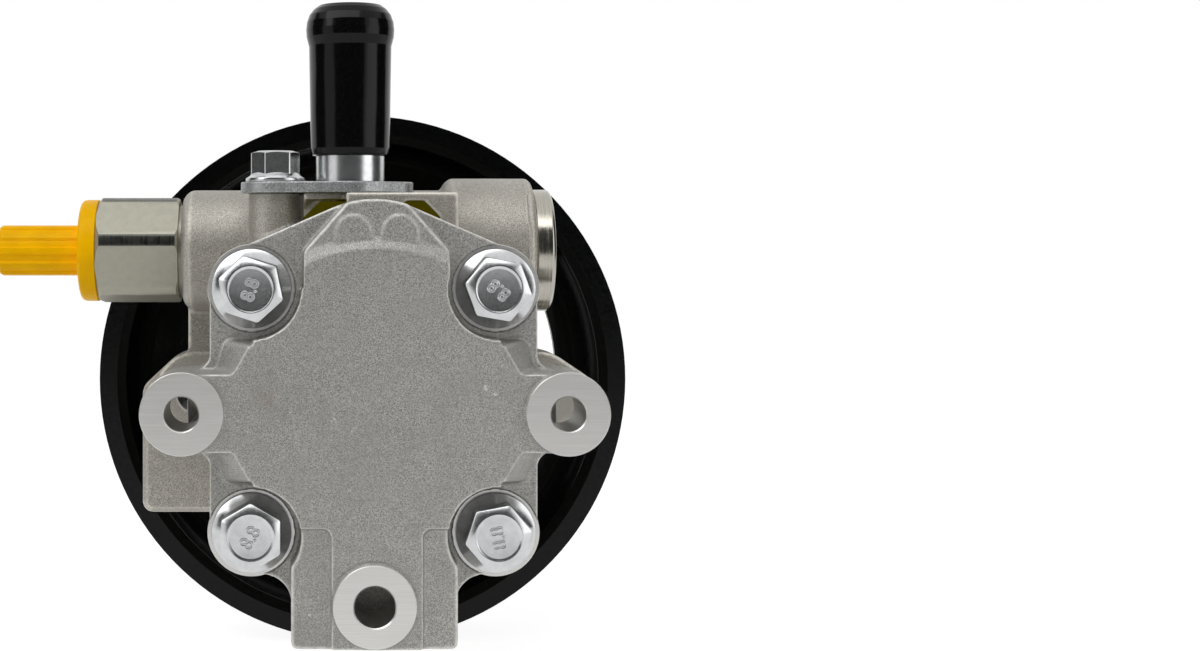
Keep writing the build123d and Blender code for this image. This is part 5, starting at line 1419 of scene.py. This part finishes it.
def grey_card(name, size, grey):
    """Grey card that metal mirrors and the camera doesn't see."""
    card = bpy.data.objects.new(name, flat_sheet(name, *size))
    paint = Paint(name, roughness=1.0)
    paint.set("Base Color", (grey, grey, grey, 1.0))
    card.data.materials.append(paint.material)
    card.visible_camera = False
    card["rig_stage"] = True
    return card


def set_up(thing, place, target):
    """Sets a lamp or a card at a place, turned to face a target."""
    aim = (target - place).to_track_quat("-Z", "Y").to_matrix().to_4x4()
    thing.matrix_world = Matrix.Translation(place) @ aim
    bpy.context.scene.collection.objects.link(thing)


class PUMP_OT_stage(bpy.types.Operator):
    """Set the pale floor, the white room, the soft lights and the camera"""

    bl_idname = "pump.stage"
    bl_label = "Stage"

    def execute(self, context):
        scene = context.scene
        settings = scene.pump_stage
        low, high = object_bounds()
        middle = (low + high) / 2

        mesh = flat_sheet("floor", 2 * FLOOR_REACH, 2 * FLOOR_REACH, low.z - FLOOR_DROP)
        floor = new_piece("floor", mesh)
        material = bpy.data.materials.new("Pale floor")
        sheet = empty_sheet(material)
        paper = sheet.node("ShaderNodeBsdfDiffuse", values={"Color": (0.9, 0.9, 0.9, 1.0)})
        values = {"Color": WHITE, "Strength": FLOOR_GLOW}
        glow = sheet.node("ShaderNodeEmission", values=values)
        values = {0: white_ray(sheet) * FLOOR_GLOW_SHARE, 1: paper, 2: glow}
        mixed = sheet.node("ShaderNodeMixShader", values=values)
        sheet.node("ShaderNodeOutputMaterial", values={"Surface": mixed})
        mesh.materials.append(material)
        floor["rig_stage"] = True

        scene.world = bpy.data.worlds.new("White room")
        sheet = empty_sheet(scene.world)
        strength = white_ray(sheet) * (1.0 - settings.surround) + settings.surround
        values = {"Color": WHITE, "Strength": strength}
        room = sheet.node("ShaderNodeBackground", values=values)
        sheet.node("ShaderNodeOutputWorld", values={"Surface": room})

        for name, power, size, place in LAMPS:
            set_up(soft_lamp(name, size, getattr(settings, power)), middle + Vector(place), middle)
        for name, grey, size, place in CARDS:
            set_up(grey_card(name, size, grey), middle + Vector(place), middle)

        camera = bpy.data.cameras.new("camera")
        camera.sensor_width = 36.0
        camera.lens = settings.lens
        camera.shift_x = settings.shift_right
        camera.shift_y = settings.shift_up
        camera.clip_start = 0.01
        camera.clip_end = 20.0
        view = bpy.data.objects.new("camera", camera)
        view.location = settings.camera_place
        view.rotation_euler = (math.pi / 2, 0, 0)
        scene.collection.objects.link(view)
        scene.camera = view
        scene.view_settings.view_transform = "Standard"
        return {"FINISHED"}


class PUMP_PT_panel(bpy.types.Panel):
    """Lists the pump's pieces and their settings"""

    bl_idname = "PUMP_PT_panel"
    bl_label = "Steering pump"
    bl_space_type = "VIEW_3D"
    bl_region_type = "UI"
    bl_category = "Steering pump"

    def draw(self, context):
        layout = self.layout
        for operator in OPERATORS:
            layout.operator(operator.bl_idname)
        for name in SETTINGS:
            group = getattr(context.scene, name)
            column = layout.column(align=True)
            for key in group.__annotations__:
                column.prop(group, key)


SETTINGS = {
    "pump_castings": CastingSettings,
    "pump_fasteners": FastenerSettings,
    "pump_ports": PortSettings,
    "pump_drive": DriveSettings,
    "pump_stage": StageSettings,
}
OPERATORS = (
    PUMP_OT_rear_cover,
    PUMP_OT_body,
    PUMP_OT_bolts,
    PUMP_OT_inlet,
    PUMP_OT_outlet,
    PUMP_OT_end_plug,
    PUMP_OT_pulley,
    PUMP_OT_inner_parts,
    PUMP_OT_stage,
)


def register():
    for group in SETTINGS.values():
        bpy.utils.register_class(group)
    for name, group in SETTINGS.items():
        setattr(bpy.types.Scene, name, PointerProperty(type=group))
    for operator in OPERATORS:
        bpy.utils.register_class(operator)
    bpy.utils.register_class(PUMP_PT_panel)


def unregister():
    bpy.utils.unregister_class(PUMP_PT_panel)
    for operator in reversed(OPERATORS):
        bpy.utils.unregister_class(operator)
    for name in SETTINGS:
        delattr(bpy.types.Scene, name)
    for group in reversed(list(SETTINGS.values())):
        bpy.utils.unregister_class(group)


def main():
    """Registers the add-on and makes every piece."""
    register()
    for operator in OPERATORS:
        group, name = operator.bl_idname.split(".")
        getattr(getattr(bpy.ops, group), name)()


if __name__ == "__main__":
    main()
